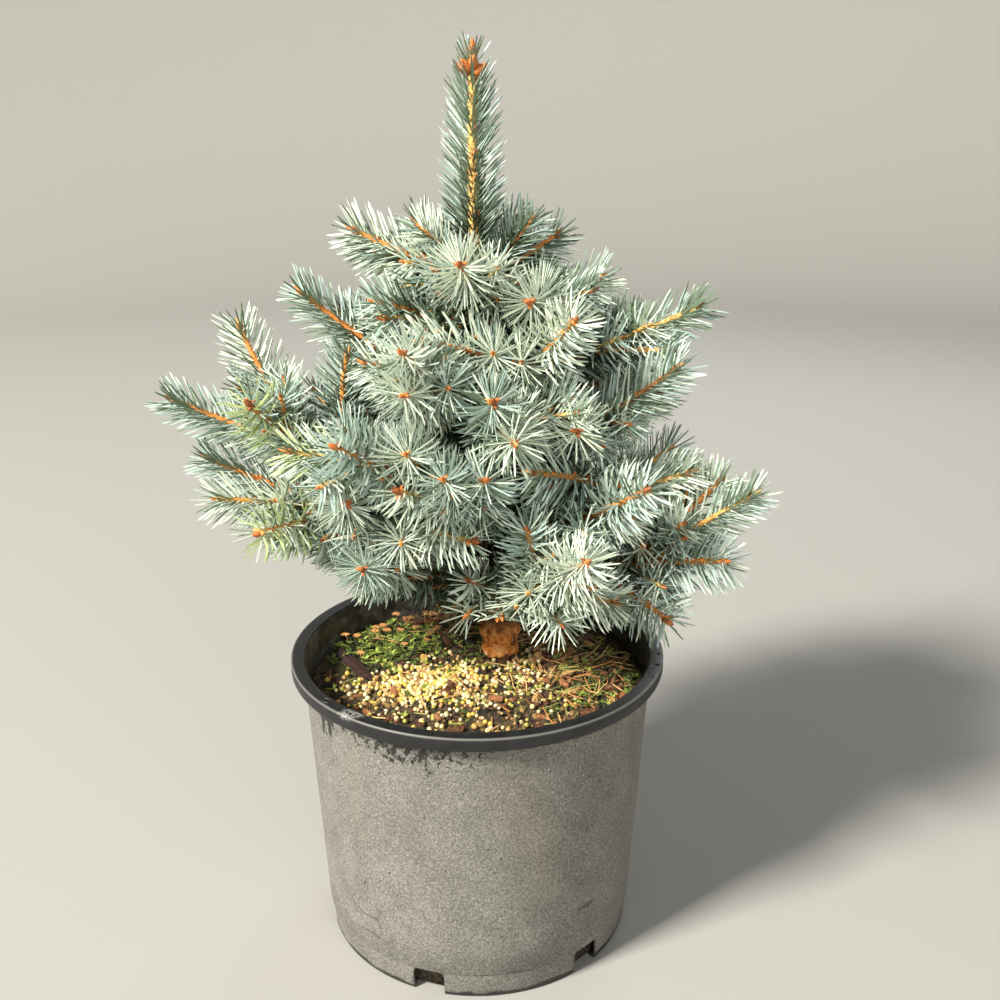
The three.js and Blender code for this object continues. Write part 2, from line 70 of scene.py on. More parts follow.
def colour(code: int | Colour) -> Colour:
    """Turn a colour code into linear light.

    Args:
        code: Six hexadecimal digits, two each for red, green and blue, or a linear colour.

    Returns:
        The three linear values, from 0 to 1.
    """
    if isinstance(code, tuple):
        return code
    shares = [(code >> shift & 255) / 255 for shift in (16, 8, 0)]
    return tuple(s / 12.92 if s <= 0.04045 else ((s + 0.055) / 1.055) ** 2.4 for s in shares)


def unit(vectors: Array) -> Array:
    """Give vectors the length of one."""
    return vectors / np.maximum(np.linalg.norm(vectors, axis=-1, keepdims=True), 1e-9)


def smoothstep(value: Array, start: float, end: float) -> Array:
    """Rise smoothly from 0 at the start to 1 at the end."""
    share = np.clip((value - start) / (end - start), 0, 1)
    return share * share * (3 - 2 * share)


def bearing_point(bearing: float, reach: float, height: float) -> Array:
    """Place a point by its bearing in degrees round the pot's axis, its reach and its height."""
    angle = math.radians(bearing)
    return np.array([reach * math.cos(angle), reach * math.sin(angle), height])


def level(angles: Array, rise: float | Array = 0.0) -> Array:
    """The ways that lie at angles round the upright axis, each with its rise."""
    return np.column_stack([np.cos(angles), np.sin(angles), np.broadcast_to(rise, np.shape(angles))])


def ring_corners(sides: int) -> tuple[Array, Array, Array]:
    """The angles of a ring's corners, their numbers and the number after each."""
    here = np.arange(sides)
    return here / sides * math.tau, here, (here + 1) % sides


def bands(rings: int, sides: int, flipped: bool = False) -> Array:
    """Join rings of corners, each ring to the next.

    Args:
        rings: How many rings there are.
        sides: How many corners a ring has.
        flipped: Whether the faces look the other way.

    Returns:
        The quads, as rows of corner numbers.
    """
    _, here, after = ring_corners(sides)
    low = np.arange(rings - 1)[:, None] * sides
    high = low + sides
    quads = [low + here, low + after, high + after, high + here]
    if flipped:
        quads[1], quads[3] = quads[3], quads[1]
    return np.stack(quads, axis=-1).reshape(-1, 4)


def fan(first: Array, second: Array, point: int) -> Array:
    """The triangles between pairs of corners and one point."""
    return np.stack([first, second, np.full(len(first), point)], axis=-1)


class Signal:
    """A number that changes over a surface. Arithmetic on it adds Math nodes."""

    def __init__(self, graph: "Graph", socket: Socket) -> None:
        """Wrap one output socket of a graph."""
        self.graph = graph
        self.socket = socket

    def __add__(self, other: "Number") -> "Signal":
        """Add a number."""
        return self.graph.math("ADD", self, other)

    def __sub__(self, other: "Number") -> "Signal":
        """Subtract a number."""
        return self.graph.math("SUBTRACT", self, other)

    def __rsub__(self, other: "Number") -> "Signal":
        """Subtract from a number."""
        return self.graph.math("SUBTRACT", other, self)

    def __mul__(self, other: "Number") -> "Signal":
        """Multiply by a number."""
        return self.graph.math("MULTIPLY", self, other)

    def __pow__(self, other: "Number") -> "Signal":
        """Raise to a power."""
        return self.graph.math("POWER", self, other)

    __radd__ = __add__
    __rmul__ = __mul__

    def rising(self, start: float, end: float) -> "Signal":
        """Turn the number into a smooth step.

        Args:
            start: Where it starts to rise from 0.
            end: Where it reaches 1.

        Returns:
            The step.
        """
        sockets = {0: self, 1: start, 2: end, 3: 0.0, 4: 1.0}
        made = self.graph.node("ShaderNodeMapRange", {"interpolation_type": "SMOOTHSTEP"}, sockets)
        return Signal(self.graph, made.outputs[0])


Number = Signal | float
Tint = int | Colour | Socket


class Graph:
    """The node tree of one material, with its nodes added by plain calls."""

    def __init__(self, name: str) -> None:
        """Start a material that has only its main shader.

        Args:
            name: The material's name.
        """
        self.material = bpy.data.materials.new(name)
        self.material.use_nodes = True
        self.tree = self.material.node_tree
        self.shader = self.tree.nodes["Principled BSDF"]
        self.place = self.node("ShaderNodeTexCoord").outputs["Object"]

    def node(self, kind: str, settings: dict[str, Any] | None = None,
             sockets: dict[int | str, Any] | None = None) -> bpy.types.Node:
        """Add one node.

        Args:
            kind: The node's type.
            settings: Its properties, which are set first.
            sockets: A value or a link for each input socket that isn't left as it is.

        Returns:
            The new node.
        """
        made = self.tree.nodes.new(kind)
        for key, value in (settings or {}).items():
            setattr(made, key, value)
        for key, value in (sockets or {}).items():
            self.feed(made.inputs[key], value)
        return made

    def feed(self, socket: Socket, value: Any) -> None:
        """Link an input socket, or set its own value.

        Args:
            socket: The input socket.
            value: A signal or an output socket to link, or else a plain value or a colour code.
        """
        if isinstance(value, Signal):
            value = value.socket
        if isinstance(value, Socket):
            self.tree.links.new(value, socket)
        elif socket.type == "RGBA":
            socket.default_value = (*colour(value), 1.0)
        else:
            socket.default_value = value

    def math(self, operation: str, *values: Number) -> Signal:
        """Add one Math node for an operation on numbers."""
        made = self.node("ShaderNodeMath", {"operation": operation}, dict(enumerate(values)))
        return Signal(self, made.outputs[0])

    def vector(self, operation: str, *values: Any) -> bpy.types.Node:
        """Add one Vector Math node."""
        return self.node("ShaderNodeVectorMath", {"operation": operation}, dict(enumerate(values)))

    def stretched(self, x: float, y: float, z: float) -> Socket:
        """The surface's place with each direction scaled on its own."""
        return self.vector("MULTIPLY", self.place, (x, y, z)).outputs[0]

    def axes(self) -> tuple[Signal, Signal, Signal]:
        """The three coordinates of the surface's place."""
        made = self.node("ShaderNodeSeparateXYZ", None, {0: self.place})
        return tuple(Signal(self, socket) for socket in made.outputs)

    def near(self, centre: Sequence[float], sizes: tuple[float, float, float], blur: float = 0.4) -> Signal:
        """A spot that is 1 at its centre and fades to 0 at its edge.

        Args:
            centre: The middle of the spot.
            sizes: Its half sizes along the three axes.
            blur: The share of the spot over which it fades.

        Returns:
            The spot's strength.
        """
        offset = self.vector("SUBTRACT", self.place, tuple(float(value) for value in centre))
        inverse = tuple(1 / size for size in sizes)
        scaled = self.vector("MULTIPLY", offset.outputs[0], inverse)
        length = Signal(self, self.vector("LENGTH", scaled.outputs[0]).outputs["Value"])
        return 1 - length.rising(1 - blur, 1 + blur)

    def grain(self, scale: float, detail: float = 3.0, roughness: float = 0.55, at: Any = None) -> Signal:
        """Cloudy noise from 0 to 1, with its scale in cycles a metre."""
        sockets = {"Vector": at or self.place, "Scale": scale, "Detail": detail, "Roughness": roughness}
        return Signal(self, self.node("ShaderNodeTexNoise", None, sockets).outputs[0])

    def cells(self, scale: float, feature: str = "F1", at: Any = None) -> Signal:
        """Measure a pattern of random cells.

        Args:
            scale: How many cells there are a metre.
            feature: What is measured: the way to the nearest middle, or to the cell's edge.
            at: The place, where it isn't the surface's own.

        Returns:
            The distance.
        """
        sockets = {"Vector": at or self.place, "Scale": scale}
        made = self.node("ShaderNodeTexVoronoi", {"feature": feature}, sockets)
        return Signal(self, made.outputs["Distance"])

    def ramp(self, signal: Number, places: Sequence[float], tints: Sequence[int | Colour]) -> Socket:
        """Turn a number into a colour.

        Args:
            signal: The number.
            places: The stops, from 0 to 1.
            tints: The colour at each stop.

        Returns:
            The colour.
        """
        made = self.node("ShaderNodeValToRGB", None, {0: signal})
        stops = made.color_ramp.elements
        while len(stops) < len(places):
            stops.new(1.0)
        for stop, place, tint in zip(stops, places, tints):
            stop.position = place
            stop.color = (*colour(tint), 1.0)
        return made.outputs[0]

    def mix(self, mask: Number, low: Tint, high: Tint) -> Socket:
        """Mix two colours, the first where the mask is 0 and the second where it is 1."""
        sockets = {0: mask, 6: low, 7: high}
        return self.node("ShaderNodeMix", {"data_type": "RGBA"}, sockets).outputs[2]

    def bump(self, height: Number, depth: float, strength: float = 1.0) -> Socket:
        """A normal that follows a height.

        Args:
            height: The height, from 0 to 1.
            depth: What a height of 1 stands for, in metres.
            strength: How much of it shows.

        Returns:
            The normal.
        """
        sockets = {"Height": height, "Distance": depth, "Strength": strength}
        return self.node("ShaderNodeBump", None, sockets).outputs[0]

    def finish(self, base: Tint, roughness: Number, normal: Socket | None = None) -> Material:
        """Feed the main shader.

        Args:
            base: The base colour.
            roughness: The roughness.
            normal: The normal, where the surface has fine relief.

        Returns:
            The finished material.
        """
        self.feed(self.shader.inputs["Base Color"], base)
        self.feed(self.shader.inputs["Roughness"], roughness)
        if normal is not None:
            self.feed(self.shader.inputs["Normal"], normal)
        return self.material


@dataclass(frozen=True)
class DustyWall:
    """Black plastic under a dry grey film of dust and lime, flaking below the rim."""

    height: float
    rim_band: float
    film: Sequence[int] = (0x4F4E4A, 0x6F6D67, 0x918E87)
    plastic: int = 0x23231F
    earth: int = 0x7C6A4C
    flake_front: Sequence[float] = (-0.047, -0.125, 0.209)
    scuff: Sequence[float] = (0.082, -0.096, 0.060)
    cracks: Sequence[float] = (-0.070, -0.100, 0.060)
    edge_mark: Sequence[float] = (-0.108, -0.080, 0.203)

    def build(self) -> Material:
        """Make the material.

        Returns:
            The finished material.
        """
        graph = Graph("pot_dusty_wall")
        height = graph.axes()[2]
        fine = graph.grain(620, 5.0, 0.80)
        patchy = graph.grain(40, 4.0, 0.6)
        film = graph.ramp(fine * 0.85 + patchy * 0.15, (0.38, 0.50, 0.61), self.film)
        streaks = graph.grain(48, 3.0, 0.5, graph.stretched(1, 1, 0.1)).rising(0.5, 0.72)
        film = graph.mix(streaks * 0.14, film, 0x66635B)
        grit = (1 - graph.cells(340).rising(0.05, 0.17)) * graph.grain(90).rising(0.42, 0.56)
        film = graph.mix(grit * 0.60, film, 0xDEDACE)
        stain = graph.grain(9, 3.0, 0.5, graph.stretched(1, 1, 0.35)).rising(0.52, 0.75)
        film = graph.mix(stain * 0.20, film, self.earth)
        specks = 1 - graph.cells(520).rising(0.10, 0.22)
        film = graph.mix(specks * graph.grain(160).rising(0.5, 0.62) * 0.5, film, 0x4C483F)
        bare = self._bare(graph, height)
        base = graph.mix(bare, film, self.plastic)
        relief = graph.grain(900, 3.0) * 0.6 + (1 - bare) * 0.6
        return graph.finish(base, 0.93 - bare * 0.42, graph.bump(relief, 0.12 * MM, 0.7))

    def _bare(self, graph: Graph, height: Signal) -> Signal:
        """Where the film is gone: below the rim, along the foot, a scuff and some fine cracks.

        Args:
            graph: The material's graph.
            height: The height on the wall.

        Returns:
            How bare the plastic is, from 0 to 1.
        """
        under_rim = height.rising(self.height * 0.83, self.height - self.rim_band)
        rough = graph.grain(210, 7.0, 0.70)
        front = graph.near(self.flake_front, (0.046, 0.046, 0.015), 0.8)
        flakes = (rough + front * 0.17 + under_rim * 0.05).rising(0.665, 0.69)
        pits = (graph.grain(300, 2.0) + under_rim * 0.04).rising(0.70, 0.73)
        foot = 1 - (height + graph.grain(60, 3.0) * -0.007).rising(-0.0005, 0.0018)
        scuff = graph.near(self.scuff, (0.010, 0.010, 0.0026)) * graph.grain(400).rising(0.35, 0.5)
        lines = 1 - graph.cells(22, "DISTANCE_TO_EDGE").rising(0.0, 0.012)
        cracks = lines * graph.near(self.cracks, (0.034, 0.034, 0.034)) * graph.grain(50).rising(0.45, 0.55)
        drips = graph.grain(190, 5.0, 0.7, graph.stretched(1, 1, 0.3)) + graph.grain(700) * 0.10
        drips = (drips + graph.near(self.edge_mark, (0.014, 0.014, 0.016), 0.8) * 0.22).rising(0.72, 0.75)
        marks = flakes
        for other in (drips, pits, foot, scuff * 0.75, cracks * 0.6):
            marks = graph.math("MAXIMUM", marks, other)
        return marks


@dataclass(frozen=True)
class MouldedPlastic:
    """Dark satin plastic with some dust on it, paler along an outer edge where it has one: partly wear,
    partly a painted highlight.
    """

    name: str
    dark: int = 0x2B2A27
    dust: int = 0x77746B
    dusty: float = 0.25
    edge_height: float = 0.0
    edge_radius: float = 0.0
    scrape: Array | None = None

    def build(self) -> Material:
        """Make the material.

        Returns:
            The finished material.
        """
        graph = Graph(self.name)
        x, y, height = graph.axes()
        cloud = graph.grain(70, 5.0, 0.65)
        fine = graph.grain(900, 2.0)
        base = graph.mix((cloud * 0.7 + fine * 0.3).rising(0.40, 0.75) * self.dusty,
                         self.dark, self.dust)
        if self.edge_radius:
            # A paler band along the rounded outer top edge: partly wear, partly a painted highlight.
            radius = (x * x + y * y) ** 0.5
            worn = radius.rising(self.edge_radius - 1.6 * MM, self.edge_radius - 0.4 * MM)
            worn = worn * height.rising(self.edge_height - 1.9 * MM, self.edge_height - 0.7 * MM)
            base = graph.mix(worn * 0.40, base, 0x8F8D86)
        if self.scrape is not None:
            scrape = graph.near(self.scrape, (0.009, 0.006, 0.004)) * graph.grain(500).rising(0.42, 0.5)
            base = graph.mix(scrape * 0.5, base, 0xB4B3AE)
        roughness = 0.34 + cloud * 0.28
        return graph.finish(base, roughness, graph.bump(fine, 0.05 * MM, 0.5))


@dataclass(frozen=True)
class PottingMix:
    """Dark bark and peat mix, greened by moss on the right and behind on the left."""

    shades: Sequence[int] = (0x100C08, 0x302517, 0x655234)
    moss: int = 0x4C5A22

    def build(self) -> Material:
        """Make the material.

        Returns:
            The finished material.
        """
        graph = Graph("potting_mix")
        crumbs = graph.cells(330)
        fine = graph.grain(700, 4.0, 0.7)
        base = graph.ramp(crumbs * 0.5 + fine * 0.6, (0.30, 0.52, 0.78), self.shades)
        left = graph.near((-0.072, 0.048, 0.205), (0.052, 0.046, 0.03), 0.5)
        right = graph.near((0.096, -0.022, 0.205), (0.034, 0.050, 0.03), 0.6)
        film = (left + right) * graph.grain(180, 4.0).rising(0.42, 0.6)
        base = graph.mix(film * 0.8, base, self.moss)
        return graph.finish(base, 0.95, graph.bump(crumbs + fine, 0.8 * MM))


@dataclass(frozen=True)
class Speckled:
    """A plain tint with fine lighter and darker specks, for small and natural things."""

    name: str
    tint: int
    contrast: float = 0.3
    scale: float = 500.0
    roughness: float = 0.8
    relief: float = 0.15

    def build(self) -> Material:
        """Make the material.

        Returns:
            The finished material.
        """
        graph = Graph(self.name)
        main = colour(self.tint)
        fine = graph.grain(self.scale, 3.0, 0.6)
        low = tuple(value * (1 - self.contrast) for value in main)
        high = tuple(min(1.0, value * (1 + self.contrast)) for value in main)
        base = graph.ramp(fine, (0.32, 0.5, 0.68), (low, main, high))
        roughness = self.roughness + (fine - 0.5) * 0.15
        return graph.finish(base, roughness, graph.bump(fine, self.relief * MM))


def speckles(kind: str, **tints: Sequence[float]) -> list[Material]:
    """Make the speckled tints that a kind of thing is dealt.

    Args:
        kind: What the things are. It starts each material's name.
        tints: The values of each tint, by the word that ends its material's name.

    Returns:
        The materials, in order.
    """
    return [Speckled(f"{kind}_{word}", *values).build() for word, values in tints.items()]


@dataclass(frozen=True)
class ScalyBark:
    """Young spruce bark: thin brown scales, and a rough orange graft union near the soil."""

    name: str
    graft_height: float = 0.0
    graft_reach: float = 0.018
    shades: Sequence[int] = (0x2A1B10, 0x6E4A2C, 0xA67A4C)
    graft_shades: Sequence[int] = (0x6A3010, 0xC86E28, 0xF2953A, 0xFFCC88)

    def build(self) -> Material:
        """Make the material.

        Returns:
            The finished material.
        """
        graph = Graph(self.name)
        squashed = graph.stretched(1, 1, 0.55)
        scales = graph.cells(300, "F1", squashed)
        edges = graph.cells(300, "DISTANCE_TO_EDGE", squashed)
        fine = graph.grain(900, 4.0, 0.7)
        broad = graph.grain(110, 3.0)
        base = graph.ramp(fine * 0.55 + broad * 0.5, (0.34, 0.52, 0.70), self.shades)
        gaps = 1 - edges.rising(0.0, 0.10)
        base = graph.mix(gaps * 0.45, base, 0x1C110A)
        relief = fine * 0.5 + scales * 0.8 - gaps * 0.6
        if self.graft_height:
            height = graph.axes()[2]
            band = 1 - height.rising(self.graft_height, self.graft_height + self.graft_reach)
            fibres = graph.grain(620, 4.0, 0.7, graph.stretched(1, 1, 0.8))
            rough = graph.ramp(fibres * 0.6 + graph.grain(170, 4.0) * 0.5, (0.40, 0.48, 0.55, 0.64),
                               self.graft_shades)
            base = graph.mix(band * graph.grain(90, 3.0).rising(0.30, 0.46), base, rough)
        return graph.finish(base, 0.88, graph.bump(relief, 0.5 * MM))


@dataclass(frozen=True)
class WaxyNeedle:
    """A needle's green under its bloom of pale wax, which wears thin in places."""

    name: str
    bloom: int
    green: int
    wear: float = 0.35

    def build(self) -> Material:
        """Make the material.

        Returns:
            The finished material.
        """
        graph = Graph(self.name)
        streaks = graph.grain(420, 2.0, 0.5)
        base = graph.mix(streaks.rising(0.48, 0.72) * self.wear, self.bloom, self.green)
        return graph.finish(base, 0.50 + streaks * 0.15)


@dataclass(frozen=True)
class StudioPaper:
    """Pale seamless paper with a faint tooth."""

    tint: int = 0x9D9C97

    def build(self) -> Material:
        """Make the material.

        Returns:
            The finished material.
        """
        graph = Graph("studio_paper")
        fine = graph.grain(90, 3.0)
        base = graph.mix(fine * 0.06, self.tint, 0x8D8C87)
        return graph.finish(base, 0.9, graph.bump(fine, 0.1 * MM, 0.3))


@dataclass
class Draft:
    """The points and faces of one piece, gathered before its mesh is made.

    Attributes:
        name: The piece's name.
        finishes: The materials that its faces choose from.
    """

    name: str
    finishes: Sequence[Material]
    points: list[Array] = field(default_factory=list)
    faces: list[tuple[Array, Array]] = field(default_factory=list)
    count: int = 0

    def add(self, points: Array, *groups: Array, finish: int | Array | list[Array] = 0) -> None:
        """Add points with one or more groups of faces.

        Args:
            points: The points, one a row.
            groups: Faces as rows of point numbers, all rows of a group with as many corners.
            finish: The number of the material, or the numbers for the like shapes that a group's
                faces make up in turn. A list holds such numbers for each group.
        """
        finishes = finish if isinstance(finish, list) else [finish] * len(groups)
        for rows, kinds in zip(groups, finishes):
            kinds = np.ravel(kinds)
            self.faces.append((rows + self.count, np.repeat(kinds, len(rows) // max(len(kinds), 1))))
        self.points.append(points)
        self.count += len(points)

    def triangles(self) -> int:
        """Count the draft's triangles."""
        return sum(len(rows) * (rows.shape[1] - 2) for rows, _ in self.faces)

    def build(self, smooth: bool = False) -> bpy.types.Object:
        """Make the mesh and its object.

        Args:
            smooth: Whether its faces shade as one rounded surface.

        Returns:
            The new object.
        """
        mesh = bpy.data.meshes.new(self.name)
        points = np.concatenate(self.points).astype(np.float32)
        corners = np.concatenate([rows.ravel() for rows, _ in self.faces]).astype(np.int32)
        sizes = np.concatenate([np.full(len(rows), rows.shape[1]) for rows, _ in self.faces])
        starts = np.concatenate([[0], np.cumsum(sizes)[:-1]]).astype(np.int32)
        kinds = np.concatenate([kinds for _, kinds in self.faces]).astype(np.int32)
        mesh.vertices.add(len(points))
        mesh.vertices.foreach_set("co", points.ravel())
        mesh.loops.add(len(corners))
        mesh.loops.foreach_set("vertex_index", corners)
        mesh.polygons.add(len(sizes))
        mesh.polygons.foreach_set("loop_start", starts)
        for finish in self.finishes:
            mesh.materials.append(finish)
        mesh.polygons.foreach_set("material_index", kinds)
        mesh.polygons.foreach_set("use_smooth", np.full(len(sizes), smooth))
        mesh.update(calc_edges=True)
        mesh.validate()
        piece = bpy.data.objects.new(self.name, mesh)
        bpy.context.scene.collection.objects.link(piece)
        return piece


def place_piece(piece: bpy.types.Object, slot: str, *nodes: str) -> None:
    """Let a piece ride on the plant's body, hide the nodes that it stands for, and log its face count.

    Args:
        piece: The finished piece.
        slot: The record's material slot for the piece. It is not used.
        nodes: The nodes that it stands for.
    """
    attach(piece, BODY)
    if nodes:
        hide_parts(*nodes)
    log.info("%s: %d faces", piece.name, len(piece.data.polygons))


@dataclass(frozen=True)
class Curve:
    """A limb's axis, bent in one arc from its start to its end."""

    start: Array
    middle: Array
    end: Array

    STEEPEST = 0.87

    def points(self, shares: Array) -> Array:
        """The points at shares of the curve."""
        s = np.asarray(shares, dtype=float)[:, None]
        return (1 - s) ** 2 * self.start + 2 * s * (1 - s) * self.middle + s**2 * self.end

    def tangents(self, shares: Array) -> Array:
        """The directions at shares of the curve."""
        s = np.asarray(shares, dtype=float)[:, None]
        return unit((1 - s) * (self.middle - self.start) + s * (self.end - self.middle))

    def point(self, share: float) -> Array:
        """The point at one share."""
        return self.points([share])[0]

    def tangent(self, share: float) -> Array:
        """The direction at one share."""
        return self.tangents([share])[0]

    def frame(self, share: float) -> tuple[Array, ...]:
        """The point, direction and two square directions at one share."""
        return tuple(row[0] for row in self.frames([share]))

    def length(self) -> float:
        """The curve's length."""
        along = self.points(np.linspace(0, 1, 60))
        return float(np.linalg.norm(np.diff(along, axis=0), axis=1).sum())

    def frames(self, shares: Array) -> tuple[Array, Array, Array, Array]:
        """Measure the curve at shares of it.

        Args:
            shares: Where it is measured.

        Returns:
            The points, the directions and two directions square to them.
        """
        ends = self.tangents([0, 0.5, 1])
        lines = np.eye(3)[::-1]
        sight = next((line for line in lines if np.all(np.abs(ends @ line) < self.STEEPEST)), lines[2])
        along = self.tangents(shares)
        across = unit(np.cross(sight, along))
        return self.points(shares), along, across, np.cross(along, across)


def swept(curve: Curve, shares: Array, radii: Array, sides: int) -> tuple[Array, Array, Array]:
    """Sweep a round section along a curve.

    Args:
        curve: The axis.
        shares: Where the rings stand.
        radii: The radius of each ring, or of each of its corners.
        sides: How many corners a ring has.

    Returns:
        The points, the quads round the sides and the triangles that close both ends.
    """
    points, _, across, up = curve.frames(shares)
    angles, here, after = ring_corners(sides)
    ways = across[:, None] * np.cos(angles)[:, None] + up[:, None] * np.sin(angles)[:, None]
    radii = np.asarray(radii, dtype=float).reshape(len(points), -1, 1)
    corners = (points[:, None] + ways * radii).reshape(-1, 3)
    top = (len(points) - 1) * sides
    caps = [fan(after, here, len(corners)), fan(top + here, top + after, len(corners) + 1)]
    whole = np.concatenate([corners, points[:1], points[-1:]])
    return whole, bands(len(points), sides), np.concatenate(caps)


@dataclass(frozen=True)
class Spindle:
    """The outline of a slender thing that ends in a point: a needle, a bud, a leaf or a ray."""

    sides: int
    stations: tuple[float, ...]
    girths: tuple[float, ...]
    flatness: float = 1.0
    curl: float = 0.0
    twist: float = 0.0
    turn: float = 0.0

    def many(self, feet: Array, ways: Array, ups: Array, lengths: Array | float,
             widths: Array | float) -> tuple[Array, Array, Array]:
        """Make many spindles at once.

        Args:
            feet: Where each one starts.
            ways: The direction that each one points.
            ups: The direction that each one curls towards, or one for all.
            lengths: The length of each one, or one for all.
            widths: The half width of each one, or one for all.

        Returns:
            The points, the quads of the sides and the triangles of the tips.
        """
        ups = unit(ups - ways * np.sum(ups * ways, axis=1, keepdims=True))
        sides = np.cross(ups, ways)
        lengths, widths = (np.broadcast_to(size, len(feet))[:, None] for size in (lengths, widths))
        rings = []
        for i, (station, girth) in enumerate(zip(self.stations, self.girths)):
            centre = feet + ways * lengths * station + ups * lengths * self.curl * station**2
            for corner in range(self.sides):
                angle = (corner + self.turn + self.twist * i) / self.sides * math.tau
                out = sides * math.cos(angle) + ups * math.sin(angle) * self.flatness
                rings.append(centre + out * widths * girth)
        rings.append(feet + ways * lengths + ups * lengths * self.curl)
        _, here, after = ring_corners(self.sides)
        last = (len(self.stations) - 1) * self.sides
        shift = (np.arange(len(feet)) * len(rings))[:, None, None]
        quads = bands(len(self.stations), self.sides) + shift
        tips = fan(last + here, last + after, last + self.sides) + shift
        return np.stack(rings, axis=1).reshape(-1, 3), quads.reshape(-1, 4), tips.reshape(-1, 3)


NEEDLE = Spindle(3, (0.0, 0.30, 0.88), (0.75, 1.0, 0.80), 1.0, 0.12, turn=-0.25)
DRY_NEEDLE = Spindle(4, (0.0, 0.4, 0.85), (0.8, 1.0, 0.7), 0.9, 0.16)
BUD = Spindle(8, (0.0, 0.16, 0.19, 0.38, 0.41, 0.60, 0.63, 0.82),
              (0.70, 1.0, 0.88, 1.0, 0.84, 0.80, 0.62, 0.44), 1.0, 0.04, 0.5)
SMALL_BUD = Spindle(6, (0.0, 0.3, 0.34, 0.66), (0.8, 1.0, 0.86, 0.66), 1.0, 0.0, 0.5)
PEG = Spindle(4, (0.0,), (1.0,), 1.5)
MOSS_LEAF = Spindle(3, (0.0, 0.45), (0.4, 1.0), 0.35, 0.3)
RAY = Spindle(4, (0.0, 0.6), (0.6, 1.0), 0.7, -0.35)
STALK = Spindle(5, (0.0, 0.5, 0.98), (1.0, 0.8, 0.7), 1.0, 0.2)


class Wax(Enum):
    """The tints that a spray of needles can have, each a bloom over a green. The three shade tints are the
    darkest copies, dealt as painted shade.
    """

    FROST = (0xDAE3CC, 0xA3B193)
    SILVER = (0xCAD7C6, 0x8CA08B)
    BLUE = (0xA8BEB4, 0x647F77)
    GREY = (0x687C63, 0x3D4E39)
    DEEP = (0x2C3A25, 0x19220F)
    YOUNG = (0xBCCB92, 0x869A5C)
    OLIVE = (0x84935D, 0x5A6A3A)


# Each tint's shaded copy, dealt as painted shade on needle undersides and feet and inside the crown.
SHADED = {
    Wax.FROST: Wax.BLUE,
    Wax.SILVER: Wax.GREY,
    Wax.BLUE: Wax.GREY,
    Wax.GREY: Wax.DEEP,
    Wax.DEEP: Wax.DEEP,
    Wax.YOUNG: Wax.OLIVE,
    Wax.OLIVE: Wax.GREY,
}


@dataclass(frozen=True)
class Bough:
    """One bough of the source's table.

    Attributes:
        name: The bough's name.
        foot: The height at which it leaves the trunk.
        tip: The bearing round the crown, reach and height of its tip.
        sides: Its side shoots, each the share of the bough where it leaves, and its own tip.
        young: The numbers of its yellow-green shoots, 0 for the stem and then the side shoots.
    """

    name: str
    foot: float
    tip: tuple[float, float, float]
    sides: tuple[tuple[float, float, float, float], ...] = ()
    young: tuple[int, ...] = ()


